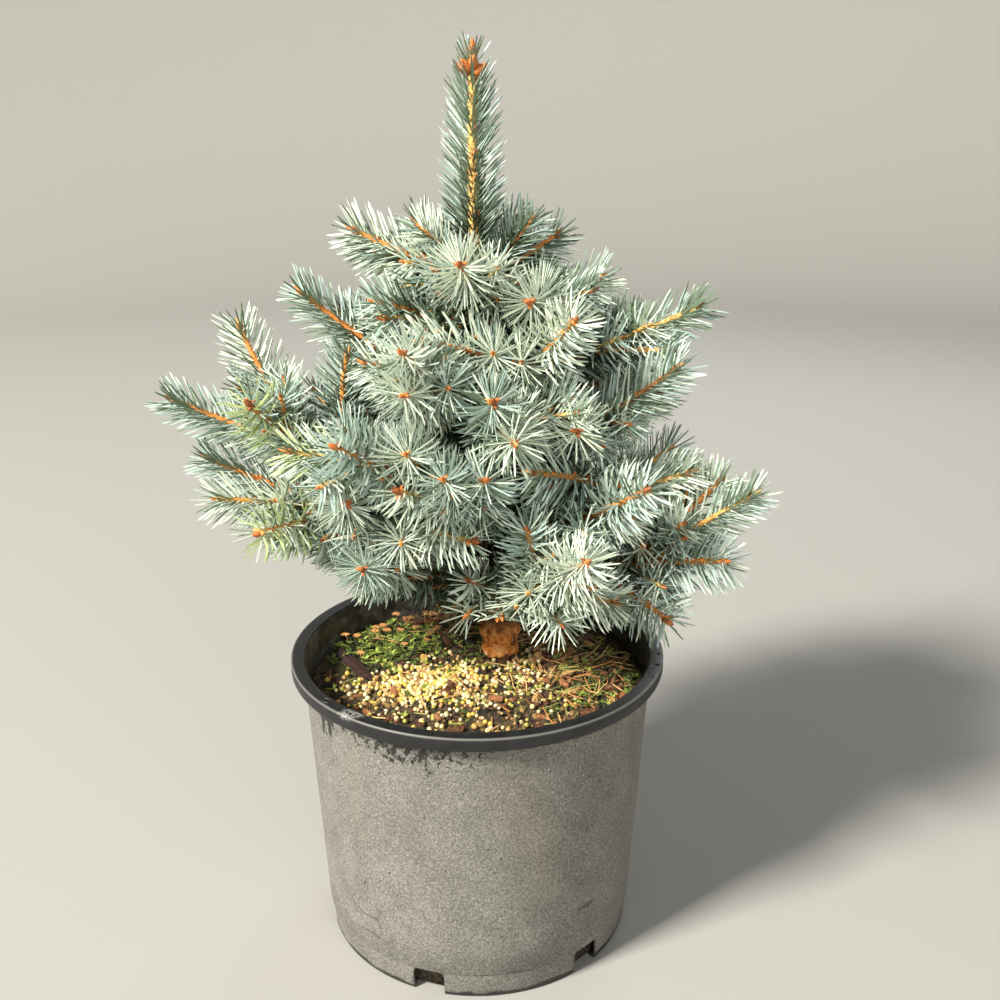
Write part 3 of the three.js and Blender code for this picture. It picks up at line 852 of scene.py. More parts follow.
BOUGHS = (
    Bough("top_left", 0.500, (180, 0.094, 0.531), ((0.4, 154, 0.066, 0.522),)),
    Bough("top_front", 0.489, (-103, 0.074, 0.515)),
    Bough("top_right", 0.496, (26, 0.056, 0.526)),
    Bough("top_back", 0.487, (103, 0.078, 0.514), ((0.4, 68, 0.066, 0.508),)),
    Bough("shoulder_left", 0.476, (-150, 0.082, 0.476), ((0.42, 172, 0.068, 0.484),)),
    Bough("shoulder_right", 0.463, (4, 0.082, 0.498), ((0.38, -68, 0.074, 0.491),)),
    Bough("shoulder_back", 0.450, (88, 0.110, 0.482),
          ((0.4, 50, 0.096, 0.482), (0.36, 126, 0.098, 0.474))),
    Bough("left_upper", 0.400, (-174, 0.131, 0.490), ((0.45, 160, 0.100, 0.468),)),
    Bough("front_right_upper", 0.412, (-57, 0.104, 0.482), ((0.36, -117, 0.094, 0.468),)),
    Bough("front_left_upper", 0.408, (-114, 0.128, 0.467),
          ((0.36, -112, 0.136, 0.442), (0.42, -142, 0.102, 0.450))),
    Bough("right_upper", 0.424, (-3, 0.150, 0.479),
          ((0.45, -13, 0.130, 0.451), (0.42, 22, 0.108, 0.466))),
    Bough("front", 0.384, (-88, 0.126, 0.438),
          ((0.45, -82, 0.134, 0.413), (0.36, -54, 0.106, 0.421))),
    Bough("back_upper_left", 0.388, (144, 0.126, 0.440),
          ((0.42, 116, 0.114, 0.444), (0.5, 170, 0.106, 0.420))),
    Bough("back_upper_right", 0.376, (46, 0.132, 0.432),
          ((0.42, 74, 0.122, 0.438), (0.45, 18, 0.112, 0.416))),
    Bough("right_middle", 0.354, (-27, 0.143, 0.447),
          ((0.36, -58, 0.111, 0.411), (0.42, 3, 0.126, 0.412))),
    Bough("front_left_big", 0.344, (-127, 0.157, 0.409),
          ((0.36, -112, 0.134, 0.404), (0.5, -146, 0.158, 0.396)), (2,)),
    Bough("left_long", 0.338, (-174, 0.226, 0.416),
          ((0.42, -166, 0.100, 0.450), (0.52, 177, 0.180, 0.463), (0.54, -159, 0.172, 0.421)), (3,)),
    Bough("back_middle", 0.330, (96, 0.166, 0.394),
          ((0.42, 68, 0.146, 0.390), (0.42, 123, 0.148, 0.386))),
    Bough("right_front", 0.322, (-22, 0.152, 0.372),
          ((0.6, -75, 0.108, 0.386), (0.45, 8, 0.140, 0.368))),
    Bough("front_low", 0.326, (-101, 0.138, 0.391),
          ((0.45, -90, 0.128, 0.388), (0.4, -115, 0.132, 0.378))),
    Bough("right_front_big", 0.302, (-51, 0.162, 0.381), ((0.5, -74, 0.102, 0.343),)),
    Bough("left_low", 0.296, (-173, 0.204, 0.373),
          ((0.5, -166, 0.198, 0.349), (0.44, -151, 0.177, 0.337), (0.4, -134, 0.134, 0.362),
           (0.36, -95, 0.106, 0.339)), (2,)),
    Bough("back_left_low", 0.286, (143, 0.184, 0.336),
          ((0.42, 167, 0.162, 0.322), (0.4, 119, 0.156, 0.330), (0.34, 106, 0.112, 0.258))),
    Bough("back_right_low", 0.272, (44, 0.174, 0.328),
          ((0.42, 18, 0.158, 0.320), (0.4, 78, 0.150, 0.316), (0.34, 82, 0.112, 0.264))),
    Bough("left_lowest", 0.268, (-169, 0.138, 0.318),
          ((0.4, -131, 0.128, 0.315), (0.44, 178, 0.122, 0.288))),
    Bough("front_lowest", 0.282, (-86, 0.060, 0.268),
          ((0.38, -102, 0.064, 0.293), (0.38, -60, 0.076, 0.305))),
    Bough("front_right_low", 0.260, (-68, 0.168, 0.344),
          ((0.45, -77, 0.118, 0.350), (0.42, -51, 0.138, 0.295))),
    Bough("right_long", 0.246, (-24, 0.198, 0.363),
          ((0.55, -19, 0.172, 0.366), (0.44, -31, 0.188, 0.321), (0.36, -34, 0.152, 0.272))),
)


@dataclass
class Pot:
    """A round nursery pot with a banded rim and drain notches round its foot."""

    height: float = 0.225
    rim_radius: float = 0.140
    rim_band: float = 0.010
    rim_flat: float = 0.0095
    wall_top: float = 0.131
    wall_foot: float = 0.118
    thickness: float = 0.0026
    floor: float = 0.003
    step_height: float = 0.020
    step_depth: float = 0.0008
    drains: int = 6
    drain_width: float = 0.0235
    drain_height: float = 0.020
    drain_depth: float = 0.034
    drain_bearing: float = -107.0
    segments: int = 192
    pit_bearings: tuple[float, ...] = (-7.0, -15.0, -23.0, 113.0, 121.0, 129.0)
    pit_radius: float = 0.0011
    mark_bearing: float = -139.0
    scrape_bearing: float = -127.7

    def __post_init__(self) -> None:
        """Measure where the rim starts."""
        self.rim_foot = self.height - self.rim_band

    def wall_radius(self, height: float) -> float:
        """The wall's outer radius at a height."""
        return self.wall_foot + (self.wall_top - self.wall_foot) * (height / self.rim_foot)

    def inner_radius(self, height: float) -> float:
        """The wall's inner radius at a height."""
        return self.wall_radius(height) - self.thickness

    def profile(self) -> list[tuple[float, float]]:
        """Draw the turned outline, from the underside out, up and back down inside.

        Returns:
            The outline's corners, each a radius and a height.
        """
        rim, lip, rim_foot = self.rim_radius, self.rim_radius - self.rim_flat, self.rim_foot
        step = self.wall_radius(self.step_height)
        bend = 1.2 * MM
        round_edge = [(rim - bend * (1 - math.cos(a)), self.height - bend * (1 - math.sin(a)))
                      for a in np.radians([0, 22, 45, 68, 90])]
        stations = np.linspace(self.step_height + 1 * MM, rim_foot - 1.5 * MM, 9)
        wall = [(self.wall_radius(z) + self.step_depth * (1 - i / 8), z) for i, z in enumerate(stations)]
        return [
            (0.0, 0.0),
            (self.wall_foot * 0.5, 0.0),
            (self.wall_foot - 2 * MM, 0.0),
            (self.wall_foot - 0.6 * MM, 0.6 * MM),
            (self.wall_foot, 2 * MM),
            (step - 0.1 * MM, self.step_height - 0.5 * MM),
            (step, self.step_height),
            *wall,
            (self.wall_top + 0.4 * MM, rim_foot - 0.4 * MM),
            (rim - 1.5 * MM, rim_foot),
            (rim - 0.4 * MM, rim_foot + 0.4 * MM),
            (rim, rim_foot + 1.5 * MM),
            *round_edge,
            (lip + 0.8 * MM, self.height),
            (lip, self.height - 0.4 * MM),
            (lip - 0.5 * MM, self.height - 1.6 * MM),
            (self.inner_radius(rim_foot), rim_foot + 2 * MM),
            (self.inner_radius(0.15), 0.15),
            (self.inner_radius(self.floor + 3 * MM), self.floor + 3 * MM),
            (self.inner_radius(self.floor) - 3 * MM, self.floor),
            (0.0, self.floor),
        ]

    def build(self) -> None:
        """Build and dress the pot, and the moulded mark on its rim."""
        shell = self._shell()
        self._cut(shell, self._cutters())
        self._dress(shell)
        place_piece(shell, "pot", "pot")
        self._rim_mark()

    def _shell(self) -> bpy.types.Object:
        """Turn the profile round the pot's axis.

        Returns:
            The pot without its notches and pits.
        """
        mesh = bmesh.new()
        points = [mesh.verts.new((radius, 0, height)) for radius, height in self.profile()]
        edges = [mesh.edges.new(pair) for pair in zip(points, points[1:])]
        bmesh.ops.spin(mesh, geom=points + edges, cent=(0, 0, 0), axis=(0, 0, 1),
                       angle=math.tau, steps=self.segments, use_merge=True)
        bmesh.ops.remove_doubles(mesh, verts=mesh.verts, dist=0.01 * MM)
        bmesh.ops.recalc_face_normals(mesh, faces=mesh.faces)
        return self._object("pot_shell", mesh)

    @staticmethod
    def _object(name: str, mesh: bmesh.types.BMesh) -> bpy.types.Object:
        """Turn a free mesh into an object.

        Args:
            name: The object's name.
            mesh: The free mesh.

        Returns:
            The object.
        """
        data = bpy.data.meshes.new(name)
        mesh.to_mesh(data)
        mesh.free()
        made = bpy.data.objects.new(name, data)
        bpy.context.scene.collection.objects.link(made)
        return made

    def _cutters(self) -> bpy.types.Object:
        """Make what is cut out of the pot.

        Returns:
            The drain notches' blocks and the small pits' pins, as one object.
        """
        mesh = bmesh.new()
        for i in range(self.drains):
            self._add_notch(mesh, self.drain_bearing + 360 / self.drains * i)
        for bearing in self.pit_bearings:
            centre = Vector(bearing_point(bearing, self.rim_radius - self.rim_flat * 0.45, self.height))
            pin = bmesh.ops.create_cone(mesh, cap_ends=True, segments=12, radius1=self.pit_radius,
                                        radius2=self.pit_radius, depth=3 * MM)
            bmesh.ops.translate(mesh, verts=pin["verts"], vec=centre)
        bmesh.ops.recalc_face_normals(mesh, faces=mesh.faces)
        return self._object("pot_cutters", mesh)

    def _add_notch(self, mesh: bmesh.types.BMesh, bearing: float) -> None:
        """Add one notch's block, with round upper corners.

        Args:
            mesh: The mesh that it is added to.
            bearing: Where it stands round the pot, in degrees.
        """
        half, corner = self.drain_width / 2, 4 * MM
        arc = [(half - corner + corner * math.cos(a), self.drain_height - corner + corner * math.sin(a))
               for a in np.radians([0, 30, 60, 90])]
        outline = [(-half, -MM), (half, -MM), *arc, *((-x, z) for x, z in reversed(arc))]
        angle = math.radians(bearing)
        out = Vector((math.cos(angle), math.sin(angle), 0))
        side = Vector((-out.y, out.x, 0))
        loops = []
        for reach in (self.wall_foot - self.drain_depth / 2, self.wall_foot + self.drain_depth / 2):
            loops.append([mesh.verts.new(out * reach + side * x + Vector((0, 0, z))) for x, z in outline])
        mesh.faces.new(loops[0])
        mesh.faces.new(reversed(loops[1]))
        for i in range(len(outline)):
            j = (i + 1) % len(outline)
            mesh.faces.new((loops[0][i], loops[0][j], loops[1][j], loops[1][i]))

    @staticmethod
    def _cut(shell: bpy.types.Object, cutters: bpy.types.Object) -> None:
        """Cut the cutters out of the shell for good.

        Args:
            shell: The pot.
            cutters: What is cut out of it.
        """
        cut = shell.modifiers.new("cut", "BOOLEAN")
        cut.operation = "DIFFERENCE"
        cut.solver = "EXACT"
        cut.object = cutters
        graph = bpy.context.evaluated_depsgraph_get()
        shell.data = bpy.data.meshes.new_from_object(shell.evaluated_get(graph))
        shell.modifiers.clear()
        bpy.data.objects.remove(cutters)

    def _dress(self, shell: bpy.types.Object) -> None:
        """Give the wall its film, and the rim, the inside and the notches their plastic.

        Args:
            shell: The cut pot.
        """
        scrape = bearing_point(self.scrape_bearing, self.rim_radius - self.rim_flat * 0.6, self.height)
        rim = MouldedPlastic("pot_rim_plastic", 0x121315, 0x3B3D3F, 0.30, self.height,
                             self.rim_radius, scrape)
        inside = MouldedPlastic("pot_inside_plastic", dark=0x1E1D1A, dust=0x8C887C, dusty=0.75)
        shell.data.materials.clear()
        for finish in (DustyWall(self.height, self.rim_band), rim, inside):
            shell.data.materials.append(finish.build())
        for face in shell.data.polygons:
            centre = face.center
            radius = math.hypot(centre.x, centre.y)
            outward = (centre.x * face.normal.x + centre.y * face.normal.y) / max(radius, MM)
            if centre.z > self.rim_foot - 0.1 * MM and radius > self.wall_top - 1 * MM:
                face.material_index = 1
            elif outward > 0.9 and radius > self.wall_radius(centre.z) - 1.2 * MM:
                face.material_index = 0
            else:
                face.material_index = 2
            face.use_smooth = True
        bpy.context.view_layer.objects.active = shell
        shell.select_set(True)
        bpy.ops.object.shade_auto_smooth(angle=math.radians(32))
        shell.select_set(False)

    def _rim_mark(self) -> None:
        """A raised half ring that the mould leaves on the rim."""
        reach = self.rim_radius - self.rim_flat * 0.5
        centre = bearing_point(self.mark_bearing, reach, self.height)
        out = bearing_point(self.mark_bearing, 1.0, 0.0)
        side = np.cross(UP, out)
        draft = Draft("pot_rim_mark", [MouldedPlastic("pot_mark_plastic", dusty=0.5).build()])
        size = 3.4 * MM
        for way in (-out, out):
            start = centre + way * size * 0.2
            curve = Curve(start + side * size, centre + way * size * 1.3, start - side * size)
            draft.add(*swept(curve, np.linspace(0, 1, 14), np.full(14, 0.45 * MM), 6))
        place_piece(draft.build(True), "pot")


@dataclass(frozen=True)
class Patch:
    """A patch of things on the soil: how many are tried, round where, and how far out."""

    count: int
    centre: tuple[float, float]
    spread: tuple[float, float]


@dataclass
class PottingSoil:
    """The mound of potting mix in the pot, with all that lies and grows on it.

    Attributes:
        dry_stems: Each a place on the soil, the way that it leans, and its length in millimetres.
        chips: Each a place on the soil, a bearing in degrees, a length and a width.
    """

    pot: Pot
    edge_height: float = 0.199
    crown_height: float = 0.208
    shrinkage: float = 0.001
    trunk_x: float = 0.017
    trunk_y: float = 0.025
    trunk_room: float = 0.019
    edge_room: float = 0.004
    seat_radius: float = 0.024
    mound_radius: float = 0.110
    lump_height: float = 0.0016
    rings: int = 92
    spokes: int = 230
    crumb_height: float = 0.0034
    crumb_scale: float = 95.0
    seed: int = 91
    crumbs: Sequence[Patch] = (Patch(2600, (0.0, 0.0), (0.18, 0.18)),)
    beads: Sequence[Patch] = (
        Patch(860, (-0.034, -0.022), (0.054, 0.030)),
        Patch(180, (-0.014, -0.056), (0.078, 0.036)),
        Patch(150, (0.044, -0.012), (0.024, 0.040)),
        Patch(60, (0.040, -0.020), (0.150, 0.130)),
    )
    moss: Sequence[Patch] = (
        Patch(420, (-0.074, 0.046), (0.050, 0.044)),
        Patch(60, (-0.030, 0.060), (0.040, 0.040)),
        Patch(170, (0.090, -0.022), (0.050, 0.070)),
        Patch(90, (0.030, -0.010), (0.180, 0.160)),
    )
    moss_leaves: int = 6
    litter: Sequence[Patch] = (
        Patch(250, (0.078, 0.006), (0.066, 0.090)),
        Patch(70, (-0.004, 0.062), (0.050, 0.050)),
        Patch(140, (0.0, 0.0), (0.170, 0.170)),
    )
    leaves: Sequence[Patch] = (
        Patch(34, (-0.022, 0.084), (0.050, 0.036)),
        Patch(40, (0.082, 0.000), (0.056, 0.090)),
        Patch(22, (-0.010, -0.050), (0.150, 0.090)),
    )
    liverworts: Sequence[tuple[float, float]] = (
        (-0.105, 0.048), (-0.088, 0.066), (-0.078, 0.078), (-0.058, 0.081), (-0.061, 0.036), (-0.043, 0.002),
        (-0.095, 0.030), (-0.069, 0.090), (-0.034, 0.060), (-0.050, 0.068), (-0.083, 0.055), (-0.071, 0.062),
        (-0.099, 0.060), (-0.046, 0.088), (-0.064, 0.072), (-0.040, 0.040),
    )
    liverwort_rays: int = 9
    dry_stems: Sequence[tuple[float, ...]] = (
        (-0.030, 0.108, -0.5, 0.1, 0.8, 34),
        (-0.012, 0.098, -0.2, 0.2, 1.0, 26),
        (-0.044, 0.104, 0.3, -0.2, 0.6, 30),
        (0.046, -0.030, 0.4, 0.3, 0.25, 22),
        (0.066, -0.046, 1.0, 0.6, 0.1, 26),
    )
    chips: Sequence[tuple[float, ...]] = (
        (-0.096, 0.012, -58, 0.062, 0.012), (-0.020, -0.094, 10, 0.017, 0.008),
        (0.034, -0.098, -30, 0.014, 0.007), (0.084, 0.050, 60, 0.020, 0.009),
        (-0.062, -0.070, 35, 0.015, 0.007), (0.070, -0.066, -15, 0.016, 0.006),
    )

    def __post_init__(self) -> None:
        """Start the seeded numbers."""
        self.random = np.random.default_rng(self.seed)
        self.radius = self.pot.inner_radius(self.edge_height) - self.shrinkage

    def mound(self, x: Array, y: Array) -> Array:
        """Find the smooth height of the soil, as in the source.

        Args:
            x: The places along the frame's x.
            y: The places along its y.

        Returns:
            The height at each place.
        """
        from_trunk = np.hypot(x - self.trunk_x, y - self.trunk_y)
        fall = smoothstep(from_trunk, self.seat_radius, self.mound_radius)
        rise = smoothstep(from_trunk, self.seat_radius, 0.050)
        edge = smoothstep(np.hypot(x, y), 0.100, self.radius + self.shrinkage)
        lumps = self.lump_height * np.sin(x / 0.013 + 0.7) * np.cos(y / 0.011)
        return self.crown_height + (self.edge_height - self.crown_height) * fall + lumps * rise * (1 - edge)

    def height(self, x: Array, y: Array) -> Array:
        """Find the height of the crumbly top.

        Args:
            x: The places along the frame's x.
            y: The places along its y.

        Returns:
            The height at each place.
        """
        places = zip(np.ravel(x) * self.crumb_scale, np.ravel(y) * self.crumb_scale)
        crumbs = np.array([noise.fractal(Vector((*place, 3.0)), 0.7, 2.2, 5) for place in places])
        return self.mound(x, y) + self.crumb_height * crumbs.reshape(np.shape(x)) * 0.9

    def on_soil(self, flat: Array, lift: float = 0.0) -> Array:
        """Set level places on the soil, each a row of x and y."""
        return np.column_stack([flat, self.height(*flat.T) + lift])

    def scatter(self, patches: Sequence[Patch]) -> Array:
        """Pick places on the soil.

        Args:
            patches: The patches that the places lie in.

        Returns:
            The places inside the pot and clear of the trunk, one a row, at the soil's height.
        """
        found = []
        for patch in patches:
            flat = self.random.normal(size=(patch.count, 2)) * np.array(patch.spread) / 2 + patch.centre
            inside = np.hypot(*flat.T) < self.radius - self.edge_room
            clear = np.hypot(*(flat - (self.trunk_x, self.trunk_y)).T) > self.trunk_room
            found.append(self.on_soil(flat[inside & clear]))
        return np.concatenate(found)

    def turns(self, count: int) -> Array:
        """Random level directions."""
        return level(self.random.uniform(0, math.tau, count))

    def build(self) -> None:
        """Build the mound and then each kind of thing on it."""
        self._mound()
        self._crumbs()
        self._beads()
        self._moss()
        self._liverworts()
        self._litter()
        self._bark_chips()
        self._dead_leaves()

    def _mound(self) -> None:
        """The closed body of the mix, with a crumbly top."""
        angles, here, after = ring_corners(self.spokes)
        radii = self.radius * (np.arange(1, self.rings + 1)[:, None] / self.rings) ** 0.8
        x, y = radii * np.cos(angles), radii * np.sin(angles)
        top = np.stack([x, y, self.height(x, y)], axis=-1).reshape(-1, 3)
        floor = self.pot.floor + 0.3 * MM
        foot_radius = self.pot.inner_radius(self.pot.floor) - 3.5 * MM
        foot = level(angles) * foot_radius + UP * floor
        middles = [[0, 0, floor], [0, 0, float(self.height(0.0, 0.0))]]
        low = self.rings * self.spokes
        under, over = low + self.spokes, low + self.spokes + 1
        lids = np.concatenate([fan(here, after, over), fan(low + after, low + here, under)])
        draft = Draft("soil_mound", [PottingMix().build()])
        draft.add(np.concatenate([top, foot, middles]), bands(self.rings + 1, self.spokes, True), lids)
        place_piece(draft.build(True), "soil", "soil")

    def _lumps(self, name: str, places: Array, sizes: Array, flatness: float,
               finishes: Sequence[Material], rounded: int, rough: float) -> None:
        """Add many small lumps as one piece.

        Args:
            name: The piece's name.
            places: Where the lumps lie.
            sizes: The half size of each one.
            flatness: How much lower than wide they are.
            finishes: The tints that they are dealt.
            rounded: How finely each is divided.
            rough: How uneven each one is.
        """
        ball = bmesh.new()
        bmesh.ops.create_icosphere(ball, subdivisions=rounded, radius=1.0)
        ball.verts.ensure_lookup_table()
        shape = np.array([vertex.co for vertex in ball.verts])
        faces = np.array([[vertex.index for vertex in face.verts] for face in ball.faces])
        ball.free()
        count = len(places)
        uneven = 1 + rough * self.random.uniform(-1, 1, (count, len(shape), 1))
        across = self.random.uniform(0.7, 1.3, (count, 2)) if rough else np.ones((count, 2))
        stretch = np.column_stack([across, np.full(count, flatness)])[:, None]
        local = shape[None] * uneven * stretch * sizes[:, None, None]
        turn = self.random.uniform(0, math.tau, (count, 1))
        tilt = self.random.normal(0, 0.35 if rough else 0.0, (count, 1))
        x, y, z = np.moveaxis(local, -1, 0)
        x, z = x * np.cos(tilt) + z * np.sin(tilt), z * np.cos(tilt) - x * np.sin(tilt)
        x, y = x * np.cos(turn) - y * np.sin(turn), x * np.sin(turn) + y * np.cos(turn)
        points = np.stack([x, y, z], axis=-1) + places[:, None]
        rows = faces[None] + (np.arange(count) * len(shape))[:, None, None]
        draft = Draft(name, finishes)
        kinds = self.random.integers(0, len(finishes), count)
        draft.add(points.reshape(-1, 3), rows.reshape(-1, 3), finish=kinds)
        place_piece(draft.build(not rough), "soil")

    def _crumbs(self) -> None:
        """Crumbs of bark and peat all over."""
        places = self.scatter(self.crumbs)
        sizes = self.random.uniform(0.8, 3.4, len(places)) * MM
        finishes = speckles(
            "crumb",
            black=(0x1A140D, 0.4, 600, 0.9, 0.3),
            brown=(0x3F2D1A, 0.4, 600, 0.9, 0.3),
            red=(0x54301D, 0.4, 600, 0.85, 0.3),
            olive=(0x5E5A26, 0.4, 600, 0.9, 0.3),
            tan=(0x8C6F40, 0.35, 600, 0.9, 0.3),
        )
        self._lumps("soil_crumbs", places, sizes, 0.55, finishes, 1, 0.25)

    def _beads(self) -> None:
        """Cream and yellow beads of slow plant food, thickest in front of the trunk."""
        places = self.scatter(self.beads)
        sizes = self.random.uniform(1.15, 2.0, len(places)) * MM
        places[:, 2] += sizes * self.random.uniform(0.2, 0.9, len(places))
        finishes = speckles(
            "bead",
            cream=(0xDCC890, 0.12, 400, 0.4, 0.05),
            yellow=(0xC9A84E, 0.15, 400, 0.4, 0.05),
            straw=(0xB48C5A, 0.15, 400, 0.45, 0.05),
            ivory=(0xDCD0A8, 0.12, 400, 0.45, 0.05),
            olive=(0xA9A04C, 0.15, 400, 0.45, 0.05),
        )
        self._lumps("plant_food_beads", places, sizes, 1.0, finishes, 2, 0.0)

    def _moss(self) -> None:
        """Small leafy rosettes behind on the left, with a few on the right."""
        places = self.scatter(self.moss)
        places[:, 2] += self.random.uniform(0, 2.5, len(places)) * MM
        feet = np.repeat(places, self.moss_leaves, axis=0)
        angles = self.random.uniform(0, math.tau, len(feet))
        ways = unit(level(angles, self.random.uniform(0.35, 1.1, len(feet))))
        lengths = self.random.uniform(3.2, 6.4, len(feet)) * MM
        kinds = self.random.choice(3, len(places), p=[0.42, 0.34, 0.24])
        draft = Draft("moss_leaves", speckles(
            "moss",
            green=(0x5A6A2B, 0.35, 700, 0.6),
            dark=(0x2C3517, 0.35, 700, 0.7),
            lime=(0x93A344, 0.3, 700, 0.6),
        ))
        draft.add(*MOSS_LEAF.many(feet, ways, -UP, lengths, lengths * 0.20), finish=kinds)
        place_piece(draft.build(), "soil")

    def _liverworts(self) -> None:
        """Tan star-shaped heads on thin stalks behind on the left."""
        spots = np.array(self.liverworts)
        heights = self.random.uniform(5, 12, len(spots)) * MM
        ways = unit(UP + 0.25 * self.turns(len(spots)))
        stalks = STALK.many(self.on_soil(spots), ways, self.turns(len(spots)), heights, 0.5 * MM)
        heads = stalks[0].reshape(len(spots), -1, 3)[:, -1]
        angles = np.add.outer(heights * 900, ring_corners(self.liverwort_rays)[0]).ravel()
        lengths = self.random.uniform(3.0, 4.8, len(angles)) * MM
        feet = np.repeat(heads, self.liverwort_rays, axis=0)
        draft = Draft("liverwort_heads", speckles(
            "liverwort",
            tan=(0xC08A4E, 0.45, 800, 0.75),
            stalk=(0x8A7440, 0.3, 800, 0.75),
        ))
        draft.add(*stalks, finish=1)
        draft.add(*RAY.many(feet, unit(level(angles, 0.15)), UP, lengths, lengths * 0.17))
        place_piece(draft.build(), "soil")

    def _litter(self) -> None:
        """Fallen needles and a few thin dry stems."""
        feet = self.scatter(self.litter)
        feet[:, 2] += self.random.uniform(1.0, 3.2, len(feet)) * MM
        ways = unit(self.turns(len(feet)) + UP * self.random.normal(0.03, 0.12, (len(feet), 1)))
        lengths = self.random.uniform(10, 26, len(feet)) * MM
        ends = feet + ways * lengths[:, None]
        inside = np.hypot(ends[:, 0], ends[:, 1]) < self.radius - 3 * MM
        feet, ways, lengths = feet[inside], ways[inside], lengths[inside]
        kinds = self.random.integers(0, 4, len(feet))
        draft = Draft("fallen_needles", speckles(
            "dry",
            orange=(0xAE7942, 0.35, 600, 0.6),
            tan=(0xC9A468, 0.25, 600, 0.6),
            brown=(0x7A4D28, 0.3, 600, 0.7),
            olive=(0x8E8C4C, 0.3, 600, 0.7),
        ))
        ups = self.turns(len(feet)) + UP * 0.2
        draft.add(*DRY_NEEDLE.many(feet, ways, ups, lengths, 0.62 * MM), finish=kinds)
        stems = np.array(self.dry_stems)
        feet, leans, lengths = self.on_soil(stems[:, :2], -1 * MM), unit(stems[:, 2:5]), stems[:, 5] * MM
        draft.add(*STALK.many(feet, leans, self.turns(len(feet)), lengths, 0.55 * MM), finish=1)
        place_piece(draft.build(), "soil")

    def _bark_chips(self) -> None:
        """A curled chip of red-brown bark on the left, with a few smaller ones."""
        draft = Draft("bark_chips", speckles(
            "chip",
            red=(0x2A110A, 0.6, 260, 0.9, 0.4),
            brown=(0x54351E, 0.4, 300, 0.7, 0.4),
        ))
        for number, (x, y, bearing, length, width) in enumerate(self.chips):
            centre = np.array([x, y, float(self.height(x, y)) + width * 0.22])
            self._chip(draft, centre, bearing, length, width, min(number, 1), 0.14, 2)
        place_piece(draft.build(), "soil")

    def _dead_leaves(self) -> None:
        """Curled dry leaves behind the trunk on the left, and a few along the right."""
        draft = Draft("dead_leaves", speckles(
            "leaf",
            rust=(0x865530, 0.45, 420, 0.75, 0.3),
            tan=(0xAE8853, 0.4, 420, 0.75, 0.3),
            dark=(0x5E3A20, 0.4, 420, 0.8, 0.3),
        ))
        for place in self.scatter(self.leaves):
            length = self.random.uniform(7, 15) * MM
            centre = place + UP * self.random.uniform(1.0, 3.5) * MM
            bearing = self.random.uniform(0, 180)
            self._chip(draft, centre, bearing, length, length * 0.42, int(self.random.integers(3)), 0.35, 6)
        place_piece(draft.build(), "soil")

    def _chip(self, draft: Draft, centre: Array, bearing: float, length: float, width: float,
              finish: int, curl: float, bluntness: int) -> None:
        """Add one curled plate of bark.

        Args:
            draft: The draft that it is added to.
            centre: Its middle.
            bearing: The direction of its length, in degrees.
            length: Its length.
            width: Its width.
            finish: The number of its material.
            curl: How far its middle stands above its edges, as a share of its width.
            bluntness: How blunt its ends are: 2 for a lens, 6 for nearly square.
        """
        along = bearing_point(bearing, 1.0, 0.0)
        across = np.cross(UP, along)
        rows, columns = 12, 7
        share = np.linspace(-0.5, 0.5, rows)[:, None] + np.zeros(columns)
        arc = np.linspace(-1.0, 1.0, columns) + np.zeros((rows, 1))
        ragged = 1 + self.random.uniform(-0.10, 0.10, share.shape)
        outline = np.sqrt(np.clip(1 - (2.02 * share) ** bluntness, 0.02, 1))
        uneven = self.random.uniform(-0.5, 0.5, share.shape) * MM
        top = (centre + along * (share * length * ragged)[..., None]
               + across * (arc * outline * width / 2 * ragged)[..., None]
               + UP * ((1 - arc**2) * width * curl + uneven)[..., None])
        low = top - UP * 1.2 * MM
        points = np.concatenate([top.reshape(-1, 3), low.reshape(-1, 3)])
        index = np.arange(rows * columns).reshape(rows, columns)
        a, b, c, d = index[:-1, :-1], index[1:, :-1], index[1:, 1:], index[:-1, 1:]
        upper = np.stack([a, b, c, d], -1).reshape(-1, 4)
        under = np.stack([a, d, c, b], -1).reshape(-1, 4) + rows * columns
        rim = np.concatenate([index[0, :], index[1:, -1], index[-1, -2::-1], index[-2:0:-1, 0]])
        after = np.roll(rim, -1)
        edge = np.stack([rim, after, after + rows * columns, rim + rows * columns], -1)
        draft.add(points, upper, under, edge, finish=finish)


